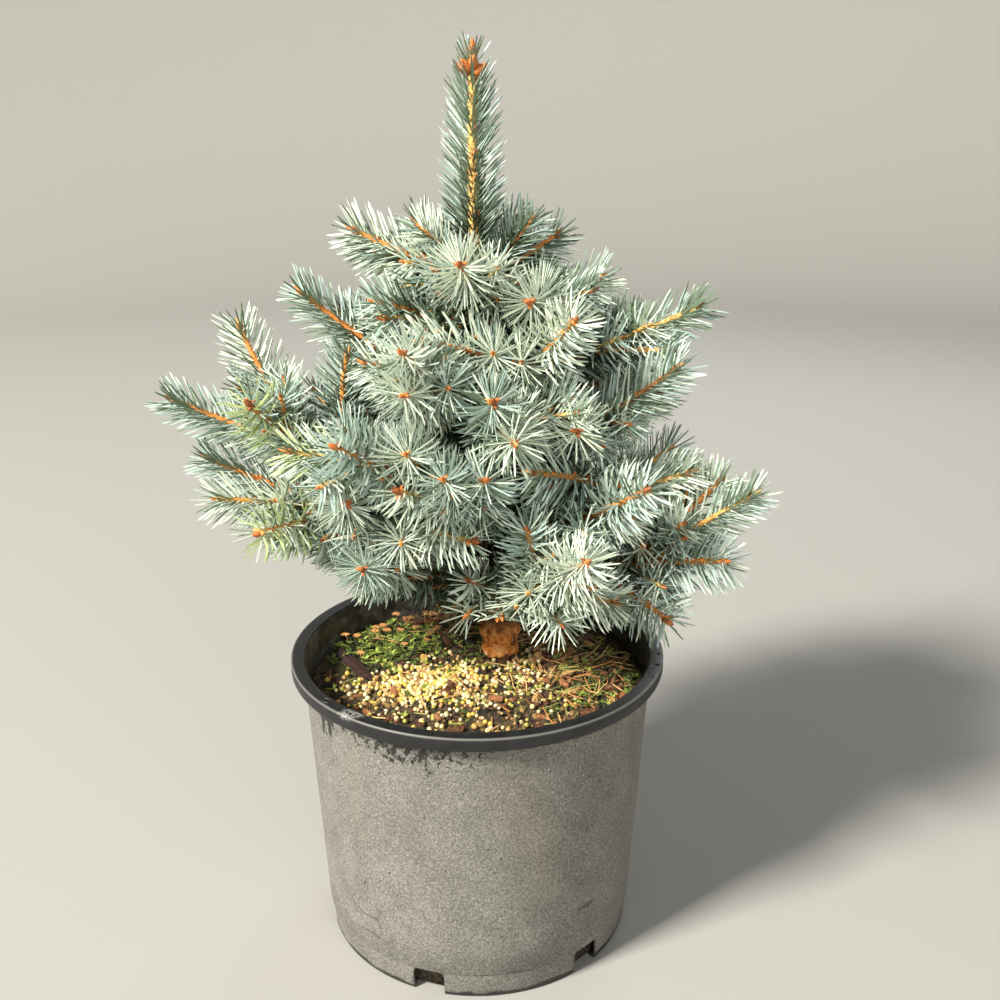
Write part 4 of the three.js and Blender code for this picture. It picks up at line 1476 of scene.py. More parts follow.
@dataclass
class Trunk:
    """The leaning trunk with its graft union, and the boughs that leave it."""

    foot: Array = field(default_factory=lambda: np.array([0.017, 0.025, 0.2083]))
    top: Array = field(default_factory=lambda: np.array([0.0, 0.025, 0.518]))
    bow: float = 0.005
    foot_radius: float = 0.011
    top_radius: float = 0.0042
    taper: float = 0.8
    flare: float = 0.004
    flare_height: float = 0.009
    graft: float = 0.0034
    graft_height: float = 0.020
    graft_spread: float = 0.013
    sides: int = 44
    rings: int = 210
    sunk: float = 0.004
    relief: float = 0.00075
    relief_scale: float = 260.0
    knob_height: float = 0.0034
    knob_spread: float = 0.014
    knob_scale: float = 180.0
    orange_height: float = 0.015
    crown_x: float = 0.008
    crown_y: float = 0.025
    bough_share: float = 0.27
    bough_radius: float = 0.0039
    stem_radius: float = 0.0026
    sag: float = 0.07
    bough_sides: int = 14
    bough_rings: int = 26
    bough_overlap: float = 0.02
    bough_relief: float = 0.00035
    bough_relief_scale: float = 420.0
    collar: float = 0.0013
    collar_share: float = 0.06

    def curve(self) -> Curve:
        """The trunk's axis."""
        middle = (self.foot + self.top) / 2 + np.array([self.bow, 0, 0])
        return Curve(self.foot, middle, self.top)

    def radius(self, share: Array) -> Array:
        """Measure the trunk with its flare and its graft.

        Args:
            share: The shares of its length.

        Returns:
            The radius at each share.
        """
        rise = share * (self.top[2] - self.foot[2])
        taper = self.foot_radius + (self.top_radius - self.foot_radius) * share**self.taper
        flare = self.flare * np.exp(-rise / self.flare_height)
        graft = self.graft * np.exp(-(((rise - self.graft_height) / self.graft_spread) ** 2))
        return taper + flare + graft

    def crown_point(self, bearing: float, reach: float, height: float) -> Array:
        """A point by its bearing round the crown, its reach and its height."""
        return bearing_point(bearing, reach, height) + np.array([self.crown_x, self.crown_y, 0])

    def bough_curve(self, bough: Bough) -> Curve:
        """Bend a bough's axis, which sags and then rises.

        Args:
            bough: The bough.

        Returns:
            Its axis, from the trunk's axis to the tip of its stem.
        """
        share = (bough.foot - self.foot[2]) / (self.top[2] - self.foot[2])
        foot = self.curve().point(share)
        tip = self.crown_point(*bough.tip)
        middle = (foot + tip) / 2 - UP * self.sag * np.linalg.norm(tip - foot)
        return Curve(foot, middle, tip)

    def build(self) -> None:
        """Build the bark of the trunk and of all boughs."""
        self._trunk_bark()
        self._bough_bark()

    @staticmethod
    def _bark_tube(curve: Curve, shares: Array, radii: Array, sides: int, depth: float,
                   scale: float) -> tuple[Array, Array, Array, Array]:
        """Sweep a limb whose bark stands out and in by its relief.

        Args:
            curve: The limb's axis.
            shares: Where its rings stand.
            radii: The radius of each ring.
            sides: How many corners a ring has.
            depth: The depth of the relief.
            scale: How fine it is, in cycles a metre.

        Returns:
            The points, the quads, the triangles of both ends, and the way out at each point.
        """
        points, quads, caps = swept(curve, shares, radii, sides)
        centres = np.concatenate([np.repeat(curve.points(shares), sides, axis=0), points[-2:]])
        out = unit(points - centres)
        lift = np.array([
            noise.fractal(Vector(p * scale), 0.6, 2.1, 4) + 0.5 * noise.cell(Vector(p * scale * 1.7))
            for p in points * np.array([1, 1, 0.6])
        ])
        rough = points + out * (lift * depth)[:, None]
        return rough, quads, caps, unit(rough - centres)

    def _trunk_bark(self) -> None:
        """The trunk's tube, with scales and a knobbly graft, sunk a little into the soil."""
        shares = np.linspace(0, 1, self.rings)
        points, quads, caps, out = self._bark_tube(
            self.curve(), shares, self.radius(shares), self.sides, self.relief, self.relief_scale)
        from_graft = points[:, 2] - self.foot[2] - self.graft_height
        knobs = np.array([noise.noise(Vector(p * self.knob_scale)) for p in points])
        knobs *= np.exp(-((from_graft / self.knob_spread) ** 2)) * self.knob_height
        points += out * knobs[:, None]
        points[: self.sides, 2] = self.foot[2] - self.sunk
        points[-2, 2] -= self.sunk
        draft = Draft("trunk_bark", [ScalyBark("trunk_bark", self.foot[2] + self.orange_height).build()])
        draft.add(points, quads, caps)
        place_piece(draft.build(True), "bark", "trunk")

    def _bough_bark(self) -> None:
        """One piece with every bough's bare limb, running a little way into its mass."""
        bark = ScalyBark("bough_bark", shades=(0x3A2412, 0x875832, 0xBD8A52))
        draft = Draft("bough_bark", [bark.build()])
        shares = np.linspace(0, self.bough_share + self.bough_overlap, self.bough_rings)
        radii = self.bough_radius + (self.stem_radius - self.bough_radius) * shares / self.bough_share
        radii += self.collar * np.exp(-shares / self.collar_share)
        for bough in BOUGHS:
            points, quads, caps, _ = self._bark_tube(
                self.bough_curve(bough), shares, radii, self.bough_sides, self.bough_relief,
                self.bough_relief_scale)
            draft.add(points, quads, caps)
        place_piece(draft.build(True), "bark", *(f"bough_{bough.name}" for bough in BOUGHS))


@dataclass(frozen=True)
class NeedleSizes:
    """How needles stand on a shoot, and the pegs of bark that they stand on."""

    length: float
    half_width: float
    pitch: float
    columns: int
    spread_foot: float
    spread_tip: float
    peg: float = 0.0022
    peg_bark: int = 0


class Kind(Enum):
    """What a shoot is, with how needles stand on it."""

    LEADER = NeedleSizes(0.0262, 0.00072, 0.0029, 12, 60, 36, 0.0030, 3)
    STEM = NeedleSizes(0.0282, 0.00072, 0.0034, 9, 62, 46)
    SIDE = NeedleSizes(0.0278, 0.00070, 0.0034, 9, 62, 48)
    TWIG = NeedleSizes(0.0236, 0.00066, 0.0037, 8, 60, 48)


class BudSize(Enum):
    """The buds by where they sit: the length, the half width and the outline of each."""

    LEADER_END = (10 * MM, 3.0 * MM, BUD)
    LEADER_RING = (11 * MM, 3.3 * MM, BUD)
    LEADER_SIDE = (6 * MM, 2.0 * MM, SMALL_BUD)
    SHOOT_END = (7.2 * MM, 2.2 * MM, BUD)
    BESIDE_END = (5.8 * MM, 1.8 * MM, BUD)
    SHOOT_SIDE = (4.6 * MM, 1.6 * MM, SMALL_BUD)
    TWIG_END = (4.2 * MM, 1.35 * MM, SMALL_BUD)


@dataclass
class Shoot:
    """One shoot: an axis with needles round it and buds at its tip."""

    kind: Kind
    curve: Curve
    start: float
    bare: float
    radius: float
    tip_radius: float
    young: bool = False
    shaded: bool = False

    def __post_init__(self) -> None:
        """Measure the shoot."""
        self.length = self.curve.length()
        self.axis = self.curve.points(np.linspace(self.start, 1, max(4, int(self.length / (3 * MM)))))


@dataclass
class Mass:
    """One mass of foliage: all the shoots that grow on from one bough, or the leader."""

    name: str
    shoots: list[Shoot]


class Crown:
    """Every mass of foliage, grown on from the trunk and the boughs by the source's rule."""

    SHOOT_RADIUS = 0.0025
    TWIG_RADIUS = 0.0014
    TIP_RADIUS = 0.0017
    LEADER_TOP = np.array([-0.0015, 0.025, 0.645])
    LEADER_BEND = 0.030
    LEADER_RADIUS = 0.0038
    LEADER_TIP_RADIUS = 0.0024
    LEADER_BARK = 2
    LEADER_BUDS = 7
    LEADER_SIDE_BUDS = (0.28, 0.50, 0.62, 0.72)
    GAP = 0.0003
    TWIST = 23.0
    TIP_SHORTENING = 0.33
    TIP_CURVE = 6
    BARE_SHARE = 0.14
    TWIG_BARE_SHARE = 0.12
    SHOOT_TURN = 0.6
    SHOOT_BEND = 0.45
    MINGLING = 0.0100
    LIMB_ROOM = 0.0008
    AXIS_ROOM = 0.0016
    NEIGHBOUR_ROOM = 0.008
    TWIG_PITCH = 0.0165
    TWIG_SHARE = 0.60
    TWIG_MARGIN = 0.010
    TWIG_FAN = 34
    TWIG_OPENING = (44, 58)
    TWIG_LENGTH = 0.022
    TWIG_BEND = 0.28
    INNER_TWIGS = 5
    INNER_START = 0.20
    LOWEST_TWIG = 0.262
    SUN_SIDE = np.array([0.0, -0.60, 0.80])
    PARTING = 0.57
    OPENNESS = 16.0
    SHORT_NEEDLES = 0.68
    PALE_FEET = 0.6
    SHADE_HEIGHT = 0.48
    GRAFT_SIGHT = (0.013, 0.020, 0.243)
    RING_PITCH = 0.005
    SEED = 4107

    def __init__(self, trunk: Trunk, pot: Pot, soil: PottingSoil) -> None:
        """Grow the crown's shoots.

        Args:
            trunk: The trunk and boughs that it grows on.
            pot: The pot that it keeps clear of.
            soil: The soil that it keeps clear of.
        """
        self.trunk = trunk
        self.pot = pot
        self.soil = soil
        self.random = np.random.default_rng(self.SEED)
        self.masses = [Mass("leader", [self._leader()])]
        self.masses += [Mass(bough.name, self._main_shoots(bough)) for bough in BOUGHS]
        for mass in self.masses:
            mass.shoots += self._twigs(mass)
        self._gather_axes()

    def _leader(self) -> Shoot:
        """Grow the upright leader.

        Returns:
            The shoot that goes on from the trunk's tip.
        """
        along = self.trunk.curve().tangent(1)
        foot = self.trunk.top + along * self.GAP
        curve = Curve(foot, foot + along * self.LEADER_BEND, self.LEADER_TOP)
        return Shoot(Kind.LEADER, curve, 0.0, 0.0, self.LEADER_RADIUS, self.LEADER_TIP_RADIUS)

    def _main_shoots(self, bough: Bough) -> list[Shoot]:
        """Grow a bough's own shoots, as in the source.

        Args:
            bough: The bough.

        Returns:
            The stem that goes on from the bough, and its side shoots.
        """
        stem = self.trunk.bough_curve(bough)
        start, radius = self.trunk.bough_share, self.trunk.stem_radius
        shoots = [Shoot(Kind.STEM, stem, start, start, radius, self.TIP_RADIUS, 0 in bough.young)]
        for number, (share, *spot) in enumerate(bough.sides, 1):
            foot = stem.point(share)
            tip = self.trunk.crown_point(*spot)
            straight = unit(tip - foot)
            lean = unit(stem.tangent(share) * (1 - self.SHOOT_TURN) + straight * self.SHOOT_TURN)
            middle = foot + lean * self.SHOOT_BEND * np.linalg.norm(tip - foot)
            shoots.append(Shoot(Kind.SIDE, Curve(foot, middle, tip), 0.0, self.BARE_SHARE,
                                self.SHOOT_RADIUS, self.TIP_RADIUS, number in bough.young))
        return shoots

    def _twigs(self, mass: Mass) -> list[Shoot]:
        """Grow finer twigs along a mass's shoots, left and right in turn.

        Args:
            mass: The mass with its main shoots.

        Returns:
            The twigs that end inside the mass's own reach.
        """
        if mass.name == "leader":
            return []
        low, high = (np.array(corner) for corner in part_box(f"foliage_{mass.name}"))
        low, high = low + self.TWIG_MARGIN, high - self.TWIG_MARGIN
        twigs = self._inner_twigs(mass.shoots[0])
        for parent in mass.shoots:
            count = round(parent.length * (1 - parent.start) * self.TWIG_SHARE / self.TWIG_PITCH)
            for number in range(count):
                place = self.TWIG_SHARE * (number + self.random.random()) / count
                share = parent.start + (1 - parent.start) * place
                twig = self._twig(parent, share, number)
                if np.all(twig.curve.end > low) and np.all(twig.curve.end < high):
                    twigs.append(twig)
        return twigs

    def _inner_twigs(self, stem: Shoot) -> list[Shoot]:
        """Grow shaded twigs along a bough's limb, which close the crown round the trunk.

        Args:
            stem: The shoot that goes on from the bough.

        Returns:
            The twigs that end high enough above the soil.
        """
        places = np.arange(self.INNER_TWIGS) + self.random.random(self.INNER_TWIGS)
        shares = self.INNER_START + (1 - self.INNER_START) * places / self.INNER_TWIGS
        shares = self.trunk.bough_share * shares
        twigs = [self._twig(stem, share, number, True) for number, share in enumerate(shares)]
        return [twig for twig in twigs if twig.curve.end[2] > self.LOWEST_TWIG]

    def _twig(self, parent: Shoot, share: float, number: int, shaded: bool = False) -> Shoot:
        """Grow one twig.

        Args:
            parent: The shoot that it leaves.
            share: Where on its parent it leaves.
            number: Its number. Twigs leave to the left and the right in turn.
            shaded: Whether it grows inside the crown. Low down, its needles take the darkest tints as
                painted shade.

        Returns:
            The twig.
        """
        foot, along, across, up = parent.curve.frame(share)
        side = math.radians(self.random.normal(0, self.TWIG_FAN) + (180 if number % 2 else 0))
        out = across * math.cos(side) + up * math.sin(side)
        opening = math.radians(self.random.uniform(*self.TWIG_OPENING))
        way = along * math.cos(opening) + out * math.sin(opening)
        length = (self.TWIG_LENGTH + self.TWIG_LENGTH * (1 - share)) * self.random.uniform(0.8, 1.2)
        bent = way + along * self.TWIG_BEND
        curve = Curve(foot, foot + way * length * 0.5, foot + bent / np.linalg.norm(bent) * length)
        return Shoot(Kind.TWIG, curve, 0.0, self.TWIG_BARE_SHARE, self.TWIG_RADIUS, self.TIP_RADIUS,
                     False, shaded)

    def _gather_axes(self) -> None:
        """Keep every shoot's and limb's axis points, for measuring how near something comes."""
        shoots = [shoot for mass in self.masses for shoot in mass.shoots]
        self.axis_points = np.concatenate([shoot.axis for shoot in shoots])
        self.axis_owner = np.repeat([id(shoot) for shoot in shoots], [len(shoot.axis) for shoot in shoots])
        curve = self.trunk.curve()
        shares = np.linspace(0, 1, 90)
        limbs, radii = [curve.points(shares)], [self.trunk.radius(shares)]
        for bough in BOUGHS:
            limbs.append(self.trunk.bough_curve(bough).points(np.linspace(0, self.trunk.bough_share, 10)))
            radii.append(np.full(10, self.trunk.bough_radius))
        self.limb_points = np.concatenate(limbs)
        self.limb_radii = np.concatenate(radii)

    def build(self) -> None:
        """Build the needles, twigs and buds of each mass."""
        needles = [WaxyNeedle(f"needle_{wax.name.lower()}", *wax.value).build() for wax in Wax]
        barks = speckles(
            "twig",
            orange=(0xC98236, 0.45, 700, 0.65, 0.2),
            tan=(0xC8984A, 0.45, 700, 0.65, 0.2),
            yellow=(0xC0A25C, 0.6, 420, 0.65, 0.3),
            brown=(0x8F5F30, 0.35, 900, 0.75, 0.25),
        )
        buds = speckles(
            "bud",
            orange=(0xBE6E30, 0.45, 1100, 0.5, 0.2),
            brown=(0x8E501F, 0.45, 1100, 0.55, 0.2),
            pale=(0xC8904F, 0.4, 1100, 0.5, 0.2),
        )
        total = 0
        for mass in self.masses:
            node = f"foliage_{mass.name}"
            sprays = Draft(f"needles_{mass.name}", needles)
            twigs = Draft(f"twigs_{mass.name}", barks)
            tips = Draft(f"buds_{mass.name}", buds)
            for shoot in mass.shoots:
                self._dress_shoot(shoot, sprays, twigs, tips)
            for draft, smooth in ((sprays, False), (twigs, True), (tips, True)):
                total += draft.triangles()
                slot = "needles" if draft is sprays else "bark"
                place_piece(draft.build(smooth), slot, node)
        log.info("crown: %d triangles, %d shoots", total, sum(len(mass.shoots) for mass in self.masses))

    def _dress_shoot(self, shoot: Shoot, sprays: Draft, twigs: Draft, tips: Draft) -> None:
        """Add one shoot to its mass's drafts.

        Args:
            shoot: The shoot.
            sprays: The draft of the needles.
            twigs: The draft of the stems.
            tips: The draft of the buds.
        """
        bark = self.LEADER_BARK
        if shoot.kind is not Kind.LEADER:
            bark = int(self.random.choice(4, p=[0.52, 0.28, 0.12, 0.08]))
        shares = np.linspace(shoot.start, 1, max(4, int(shoot.length / self.RING_PITCH)))
        radii = shoot.radius + (shoot.tip_radius - shoot.radius) * (shares - shoot.start) / (1 - shoot.start)
        sides = 6 if shoot.kind is Kind.TWIG else 10
        twigs.add(*swept(shoot.curve, shares, radii, sides), finish=bark)
        self._add_needles(shoot, sprays, twigs, bark)
        if shoot.kind is Kind.LEADER:
            self._leader_buds(shoot, tips)
        else:
            self._add_buds(shoot, tips)

    def _add_needles(self, shoot: Shoot, sprays: Draft, twigs: Draft, bark: int) -> None:
        """Stand needles round a shoot, row by row, each on a small peg of bark.

        Args:
            shoot: The shoot.
            sprays: The draft of the needles.
            twigs: The draft of the stems, which takes the pegs.
            bark: The number of the shoot's bark.
        """
        sizes = shoot.kind.value
        rows = max(3, round(shoot.length * (1 - shoot.bare) / sizes.pitch))
        row, column = np.divmod(np.arange(rows * sizes.columns), sizes.columns)
        slip, turn, splay, growth, chance = self.random.uniform(-0.5, 0.5, (5, len(row)))
        shares = shoot.bare + (1 - shoot.bare) * (row + 0.5 + slip * 0.8) / rows
        shares = np.clip(shares, shoot.bare, 0.995)
        point, along, across, up = shoot.curve.frames(shares)
        angle = (column + 0.5) / sizes.columns * math.tau + turn * 0.4
        angle += math.radians(self.TWIST) * (row + 0.5)
        out = across * np.cos(angle)[:, None] + up * np.sin(angle)[:, None]
        local = (shares - shoot.bare) / (1 - shoot.bare)
        spread = sizes.spread_foot + (sizes.spread_tip - sizes.spread_foot) * local**2 + splay * 13
        spread += self.OPENNESS * smoothstep(-along[:, 1], 0.45, 0.85)
        spread = np.radians(spread)[:, None]
        way = unit(out * np.sin(spread) + along * np.cos(spread))
        length = self._lengths(shoot, local, growth)
        radius = shoot.radius + (shoot.tip_radius - shoot.radius) * shares
        foot = point + out * (radius * 0.85)[:, None]
        curl = along + UP * 0.25
        ends = foot + way * length[:, None] + unit(curl) * length[:, None] * NEEDLE.curl
        room = self._has_room(shoot, foot, ends)
        keep = room & ~self._parted(shoot, out, along, local, chance)
        base = (foot - out * 0.35 * MM - along * 0.6 * MM)[room]
        lean, line = unit(out + along * 0.9)[room], along[room]
        foot, way, curl, length, local, growth = (
            values[keep] for values in (foot, way, curl, length, local, growth))
        needles = NEEDLE.many(foot, way, curl, length, sizes.half_width * (1 + growth * 0.2))
        # Near a shoot's inner end the needles' feet take shaded copies of their tints: painted shade.
        dull, bright = self._wax_of(shoot, local)
        sprays.add(*needles, finish=[np.concatenate([dull, bright], axis=1), bright])
        if shoot.kind is not Kind.TWIG:
            pegs = PEG.many(base, lean, line, sizes.peg, sizes.peg * 0.30)
            own = self.random.random(len(base)) < 0.6
            twigs.add(*pegs, finish=np.where(own, bark, sizes.peg_bark))

    def _lengths(self, shoot: Shoot, local: Array, growth: Array) -> Array:
        """Find how long a shoot's needles are.

        Args:
            shoot: The shoot that they stand on.
            local: How far along the shoot each one stands.
            growth: How much each one is longer than its like.

        Returns:
            The length of each needle.
        """
        length = shoot.kind.value.length * (1 - self.TIP_SHORTENING * local**self.TIP_CURVE)
        length = length * (1 + growth * 0.24)
        length *= 0.80 + 0.20 * smoothstep(local, 0.0, 0.18)
        if shoot.kind in (Kind.STEM, Kind.SIDE):
            vigour = smoothstep(shoot.length, 0.030, 0.085)
            length *= self.SHORT_NEEDLES + (1 - self.SHORT_NEEDLES) * vigour
        if shoot.kind is Kind.LEADER:
            length *= 1 - 0.12 * smoothstep(local, 0.86, 1.0)
        return length

    def _parted(self, shoot: Shoot, out: Array, along: Array, local: Array, chance: Array) -> Array:
        """Say which needles a shoot lacks where its stem shows.

        Args:
            shoot: The shoot that they stand on.
            out: The way from the shoot's axis to each needle's foot.
            along: The shoot's direction there.
            local: How far along the shoot each one stands.
            chance: A random number for each one.

        Returns:
            Whether each needle is left out.
        """
        if shoot.kind is Kind.TWIG:
            return np.zeros(len(local), dtype=bool)
        if shoot.kind is Kind.LEADER:
            front = (out[:, 1] < -0.72) & (chance > -0.12) & (local < 0.9)
            return front | (local > 0.885) & (local < 0.985) & (chance > -0.05)
        sunny = out @ self.SUN_SIDE > self.PARTING + 0.5 * along[:, 1] ** 2
        return sunny & (local < 0.86) & (chance > -0.40)

    def _wax_of(self, shoot: Shoot, local: Array) -> tuple[Array, Array]:
        """Deal each needle its tints: one for the spray, some from its neighbours, and shaded copies inside
        as painted shade.

        Args:
            shoot: The shoot that the needles stand on.
            local: How far along the shoot each needle stands.

        Returns:
            The numbers of the faces' tints near the foot and then further out, one row a needle.
            The underside takes a shaded copy as painted shade, and so do the feet near a shoot's inner end.
        """
        order = list(Wax)
        if shoot.kind is Kind.LEADER:
            main, other = Wax.BLUE, Wax.SILVER
        # Twigs low inside the crown take the two darkest tints as painted shade.
        elif shoot.shaded and shoot.curve.end[2] < self.SHADE_HEIGHT:
            main, other = Wax.GREY, Wax.DEEP
        else:
            pair = self.random.choice(3, p=[0.22, 0.40, 0.38])
            main = [Wax.FROST, Wax.SILVER, Wax.BLUE][pair]
            other = [Wax.SILVER, Wax.FROST, Wax.SILVER][pair]
        roll = self.random.random(len(local))
        kinds = np.where(roll < 0.68, order.index(main), order.index(other))
        # Needles near a shoot's inner end often take the two darkest tints: painted shade inside the crown.
        inner = self.random.random(len(local)) > smoothstep(local, -0.15, 0.52)
        kinds = np.where(inner & (roll < 0.75), order.index(Wax.GREY), kinds)
        kinds = np.where(inner & (roll < 0.35), order.index(Wax.DEEP), kinds)
        if shoot.young:
            kinds = np.where((roll > 0.40) & (local > 0.40), order.index(Wax.YOUNG), kinds)
        # A shaded copy of each tint: painted shade on one side face of some needles, on every underside, and
        # on the feet near a shoot's inner end.
        darker = np.array([order.index(SHADED[wax]) for wax in order])
        second = np.where(self.random.random(len(local)) < 0.45, darker[kinds], kinds)
        sides = np.column_stack([kinds, second])
        turned = self.random.random((len(local), 1)) < 0.5
        bright = np.column_stack([np.where(turned, sides[:, ::-1], sides), darker[kinds]])
        return np.where(local[:, None] < self.PALE_FEET, darker[bright], bright), bright

    def _has_room(self, shoot: Shoot, feet: Array, tips: Array) -> Array:
        """Say which needles keep to their shoot's space and stay off limbs, pot and soil.

        Args:
            shoot: The shoot that they stand on.
            feet: The foot of each needle.
            tips: Its tip.

        Returns:
            Whether each needle has room.
        """
        centre = shoot.axis.mean(axis=0)
        reach = np.linalg.norm(shoot.axis - centre, axis=1).max() + 0.05
        close = (self.axis_owner != id(shoot)) & (np.linalg.norm(self.axis_points - centre, axis=1) < reach)
        others = self.axis_points[close]
        keep = np.ones(len(feet), dtype=bool)
        for share in (0.45, 0.75, 1.0):
            points = feet + (tips - feet) * share
            if len(others):
                own, other = self._nearest(points, shoot.axis), self._nearest(points, others)
                keep &= other > np.minimum(own - self.MINGLING, self.NEIGHBOUR_ROOM)
                keep &= other > self.AXIS_ROOM
            limbs = np.linalg.norm(points[:, None] - self.limb_points[None], axis=2) - self.limb_radii[None]
            keep &= limbs.min(axis=1) > self.LIMB_ROOM
            keep &= self._clear_of_pot(points)
            beside = np.abs(points[:, 0] - self.GRAFT_SIGHT[0]) > self.GRAFT_SIGHT[1]
            keep &= beside | (points[:, 2] + 0.45 * points[:, 1] > self.GRAFT_SIGHT[2])
        return keep

    @staticmethod
    def _nearest(points: Array, axis: Array) -> Array:
        """The distance from each point to the nearest point of an axis."""
        return np.linalg.norm(points[:, None] - axis[None], axis=2).min(axis=1)

    def _clear_of_pot(self, points: Array) -> Array:
        """Say which points are clear of the pot's rim and wall and of the soil.

        Args:
            points: The points.

        Returns:
            Whether each point is clear.
        """
        radius = np.hypot(points[:, 0], points[:, 1])
        over_soil = radius < self.pot.rim_radius - self.pot.rim_flat - 3 * MM
        above_soil = points[:, 2] > self.soil.crown_height + 3 * MM
        above_rim = points[:, 2] > self.pot.height + 2.5 * MM
        return np.where(over_soil, above_soil, above_rim | (radius > self.pot.rim_radius + 2.5 * MM))

    def _add_buds(self, shoot: Shoot, tips: Draft) -> None:
        """Add the buds at a shoot's end, and on a long shoot two along it.

        Args:
            shoot: The shoot.
            tips: The draft of the buds.
        """
        end, along, across, up = shoot.curve.frame(1.0)
        if shoot.kind is Kind.TWIG:
            self._bud(tips, BudSize.TWIG_END, end, along, up)
            return
        size = self.random.uniform(0.70, 1.10)
        self._bud(tips, BudSize.SHOOT_END, end - along * 0.8 * MM, along, up, size)
        for number in range(int(self.random.integers(2, 4))):
            angle = number * 2.3 + self.random.random()
            out = across * math.cos(angle) + up * math.sin(angle)
            foot = end - along * 2.6 * MM + out * 0.8 * MM
            self._bud(tips, BudSize.BESIDE_END, foot, unit(along * 0.75 + out), along, size)
        if shoot.length > 0.06:
            for share in self.random.uniform(0.45, 0.85, 2):
                point, along, across, up = shoot.curve.frame(share)
                out = unit(up + across * self.random.normal(0, 0.6))
                self._bud(tips, BudSize.SHOOT_SIDE, point + out * 1.2 * MM, unit(out + along), along)

    def _leader_buds(self, shoot: Shoot, tips: Draft) -> None:
        """Add the leader's end bud, the ring of buds below it and small ones along its right side.

        Args:
            shoot: The leader.
            tips: The draft of the buds.
        """
        end, along, across, up = shoot.curve.frame(1.0)
        self._bud(tips, BudSize.LEADER_END, end, along, up)
        for number in range(self.LEADER_BUDS):
            point = shoot.curve.point(0.935 + 0.012 * (number % 3))
            angle = number / self.LEADER_BUDS * math.tau + 0.35
            out = across * math.cos(angle) + up * math.sin(angle)
            self._bud(tips, BudSize.LEADER_RING, point + out * 2.6 * MM, unit(out + along * 0.7), along)
        out = unit(np.array([0.55, -0.85, 0.0]))
        for share in self.LEADER_SIDE_BUDS:
            point, along, _, _ = shoot.curve.frame(share)
            self._bud(tips, BudSize.LEADER_SIDE, point + out * 2.6 * MM, unit(out + along * 1.2), along)

    def _bud(self, tips: Draft, bud: BudSize, foot: Array, way: Array, up: Array, size: float = 1.0) -> None:
        """Add one bud, dealt one of the bud tints.

        Args:
            tips: The draft of the buds.
            bud: The kind of bud.
            foot: Where it sits.
            way: The direction that it points.
            up: The direction that it curls towards.
            size: How large it is for its kind.
        """
        length, width, form = bud.value
        up = up if abs(float(up @ way)) < 0.95 else np.array([1.0, 0.0, 0.0])
        kind = int(self.random.choice(3, p=[0.60, 0.26, 0.14]))
        tips.add(*form.many(foot[None], way[None], up, length * size, width * size), finish=kind)


@dataclass(frozen=True)
class Softbox:
    """A square soft light that faces its target."""

    name: str
    place: tuple[float, float, float]
    size: float
    power: float
    tint: Colour
    target: tuple[float, float, float] = (0.0, 0.0, 0.34)

    def build(self) -> None:
        """Hang the light."""
        data = bpy.data.lights.new(self.name, "AREA")
        data.size = self.size
        data.energy = self.power
        data.color = self.tint
        light = bpy.data.objects.new(self.name, data)
        light.location = self.place
        aim = Vector(self.target) - Vector(self.place)
        light.rotation_euler = aim.to_track_quat("-Z", "Y").to_euler()
        bpy.context.scene.collection.objects.link(light)


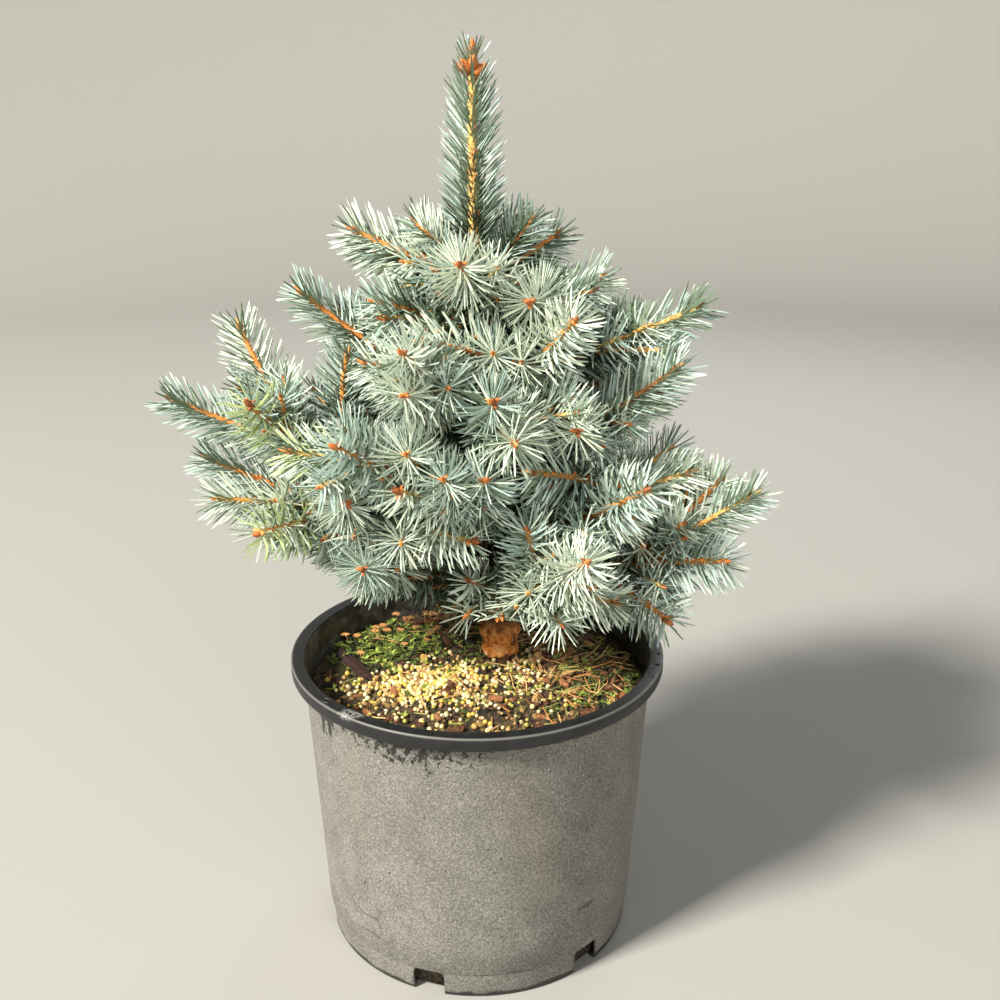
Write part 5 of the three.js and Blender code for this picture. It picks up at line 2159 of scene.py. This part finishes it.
@dataclass
class Studio:
    """The camera at the photograph's place, a pale floor that curves up, and soft lights."""

    camera_place: tuple[float, float, float] = (0.017, -0.784, 0.603)
    camera_pitch: float = 18.5
    lens: float = 40.86
    sensor: float = 36.0
    floor_radius: float = 3.2
    wall_radius: float = 4.6
    wall_height: float = 2.4
    floor_sides: int = 96
    lights: Sequence[Softbox] = (
        Softbox("key_light", (-4.60, -3.40, 4.90), 1.40, 1400, (1.0, 0.955, 0.875)),
        Softbox("front_fill", (0.9, -2.2, 1.5), 1.8, 24, (1.0, 0.98, 0.95)),
        Softbox("back_fill", (0.9, 1.9, 1.5), 1.2, 11, (0.93, 0.97, 1.0)),
        Softbox("backdrop_light", (0.2, 2.0, 2.6), 1.4, 16, (1.0, 0.99, 0.97), (0.0, 4.4, 1.0)),
    )

    def build(self) -> None:
        """Build the camera, the floor and the lights."""
        bpy.context.scene.view_settings.view_transform = "Standard"
        self._camera()
        self._floor()
        self._world()
        for light in self.lights:
            light.build()

    def _camera(self) -> None:
        """Set up the camera without shift or blur."""
        data = bpy.data.cameras.new("camera")
        data.lens = self.lens
        data.sensor_width = self.sensor
        data.clip_start = 0.01
        camera = bpy.data.objects.new("camera", data)
        camera.location = self.camera_place
        camera.rotation_euler = (math.radians(90 - self.camera_pitch), 0, 0)
        bpy.context.scene.collection.objects.link(camera)
        bpy.context.scene.camera = camera

    def _floor(self) -> None:
        """A round pale floor whose edge curves up into a wall."""
        bend = self.wall_radius - self.floor_radius
        arc = [(self.floor_radius + bend * math.sin(a), bend * (1 - math.cos(a)))
               for a in np.linspace(0, 1.5, 14)]
        outline = [(0.02, 0.0), (1.0, 0.0), (2.2, 0.0), *arc, (self.wall_radius + 0.1, self.wall_height)]
        angles, here, after = ring_corners(self.floor_sides)
        rings = [level(angles) * radius + UP * height for radius, height in outline]
        points = np.concatenate([*rings, np.zeros((1, 3))])
        draft = Draft("studio_floor", [StudioPaper().build()])
        draft.add(points, bands(len(outline), self.floor_sides, True), fan(here, after, len(points) - 1))
        draft.build(True)

    @staticmethod
    def _world() -> None:
        """An even pale light from all round."""
        world = bpy.data.worlds.new("studio_world")
        world.use_nodes = True
        background = world.node_tree.nodes["Background"]
        background.inputs["Color"].default_value = (0.92, 0.95, 1.0, 1.0)
        background.inputs["Strength"].default_value = 0.23
        bpy.context.scene.world = world


def write_sizes() -> None:
    """Update the view layer."""
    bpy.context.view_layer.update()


def main() -> None:
    """Build the studio and the plant, piece by piece."""
    logging.basicConfig(level=logging.INFO, format="%(message)s")
    Studio().build()
    pot = Pot()
    pot.build()
    soil = PottingSoil(pot)
    soil.build()
    trunk = Trunk()
    trunk.build()
    Crown(trunk, pot, soil).build()
    write_sizes()


if __name__ == "__main__":
    main()
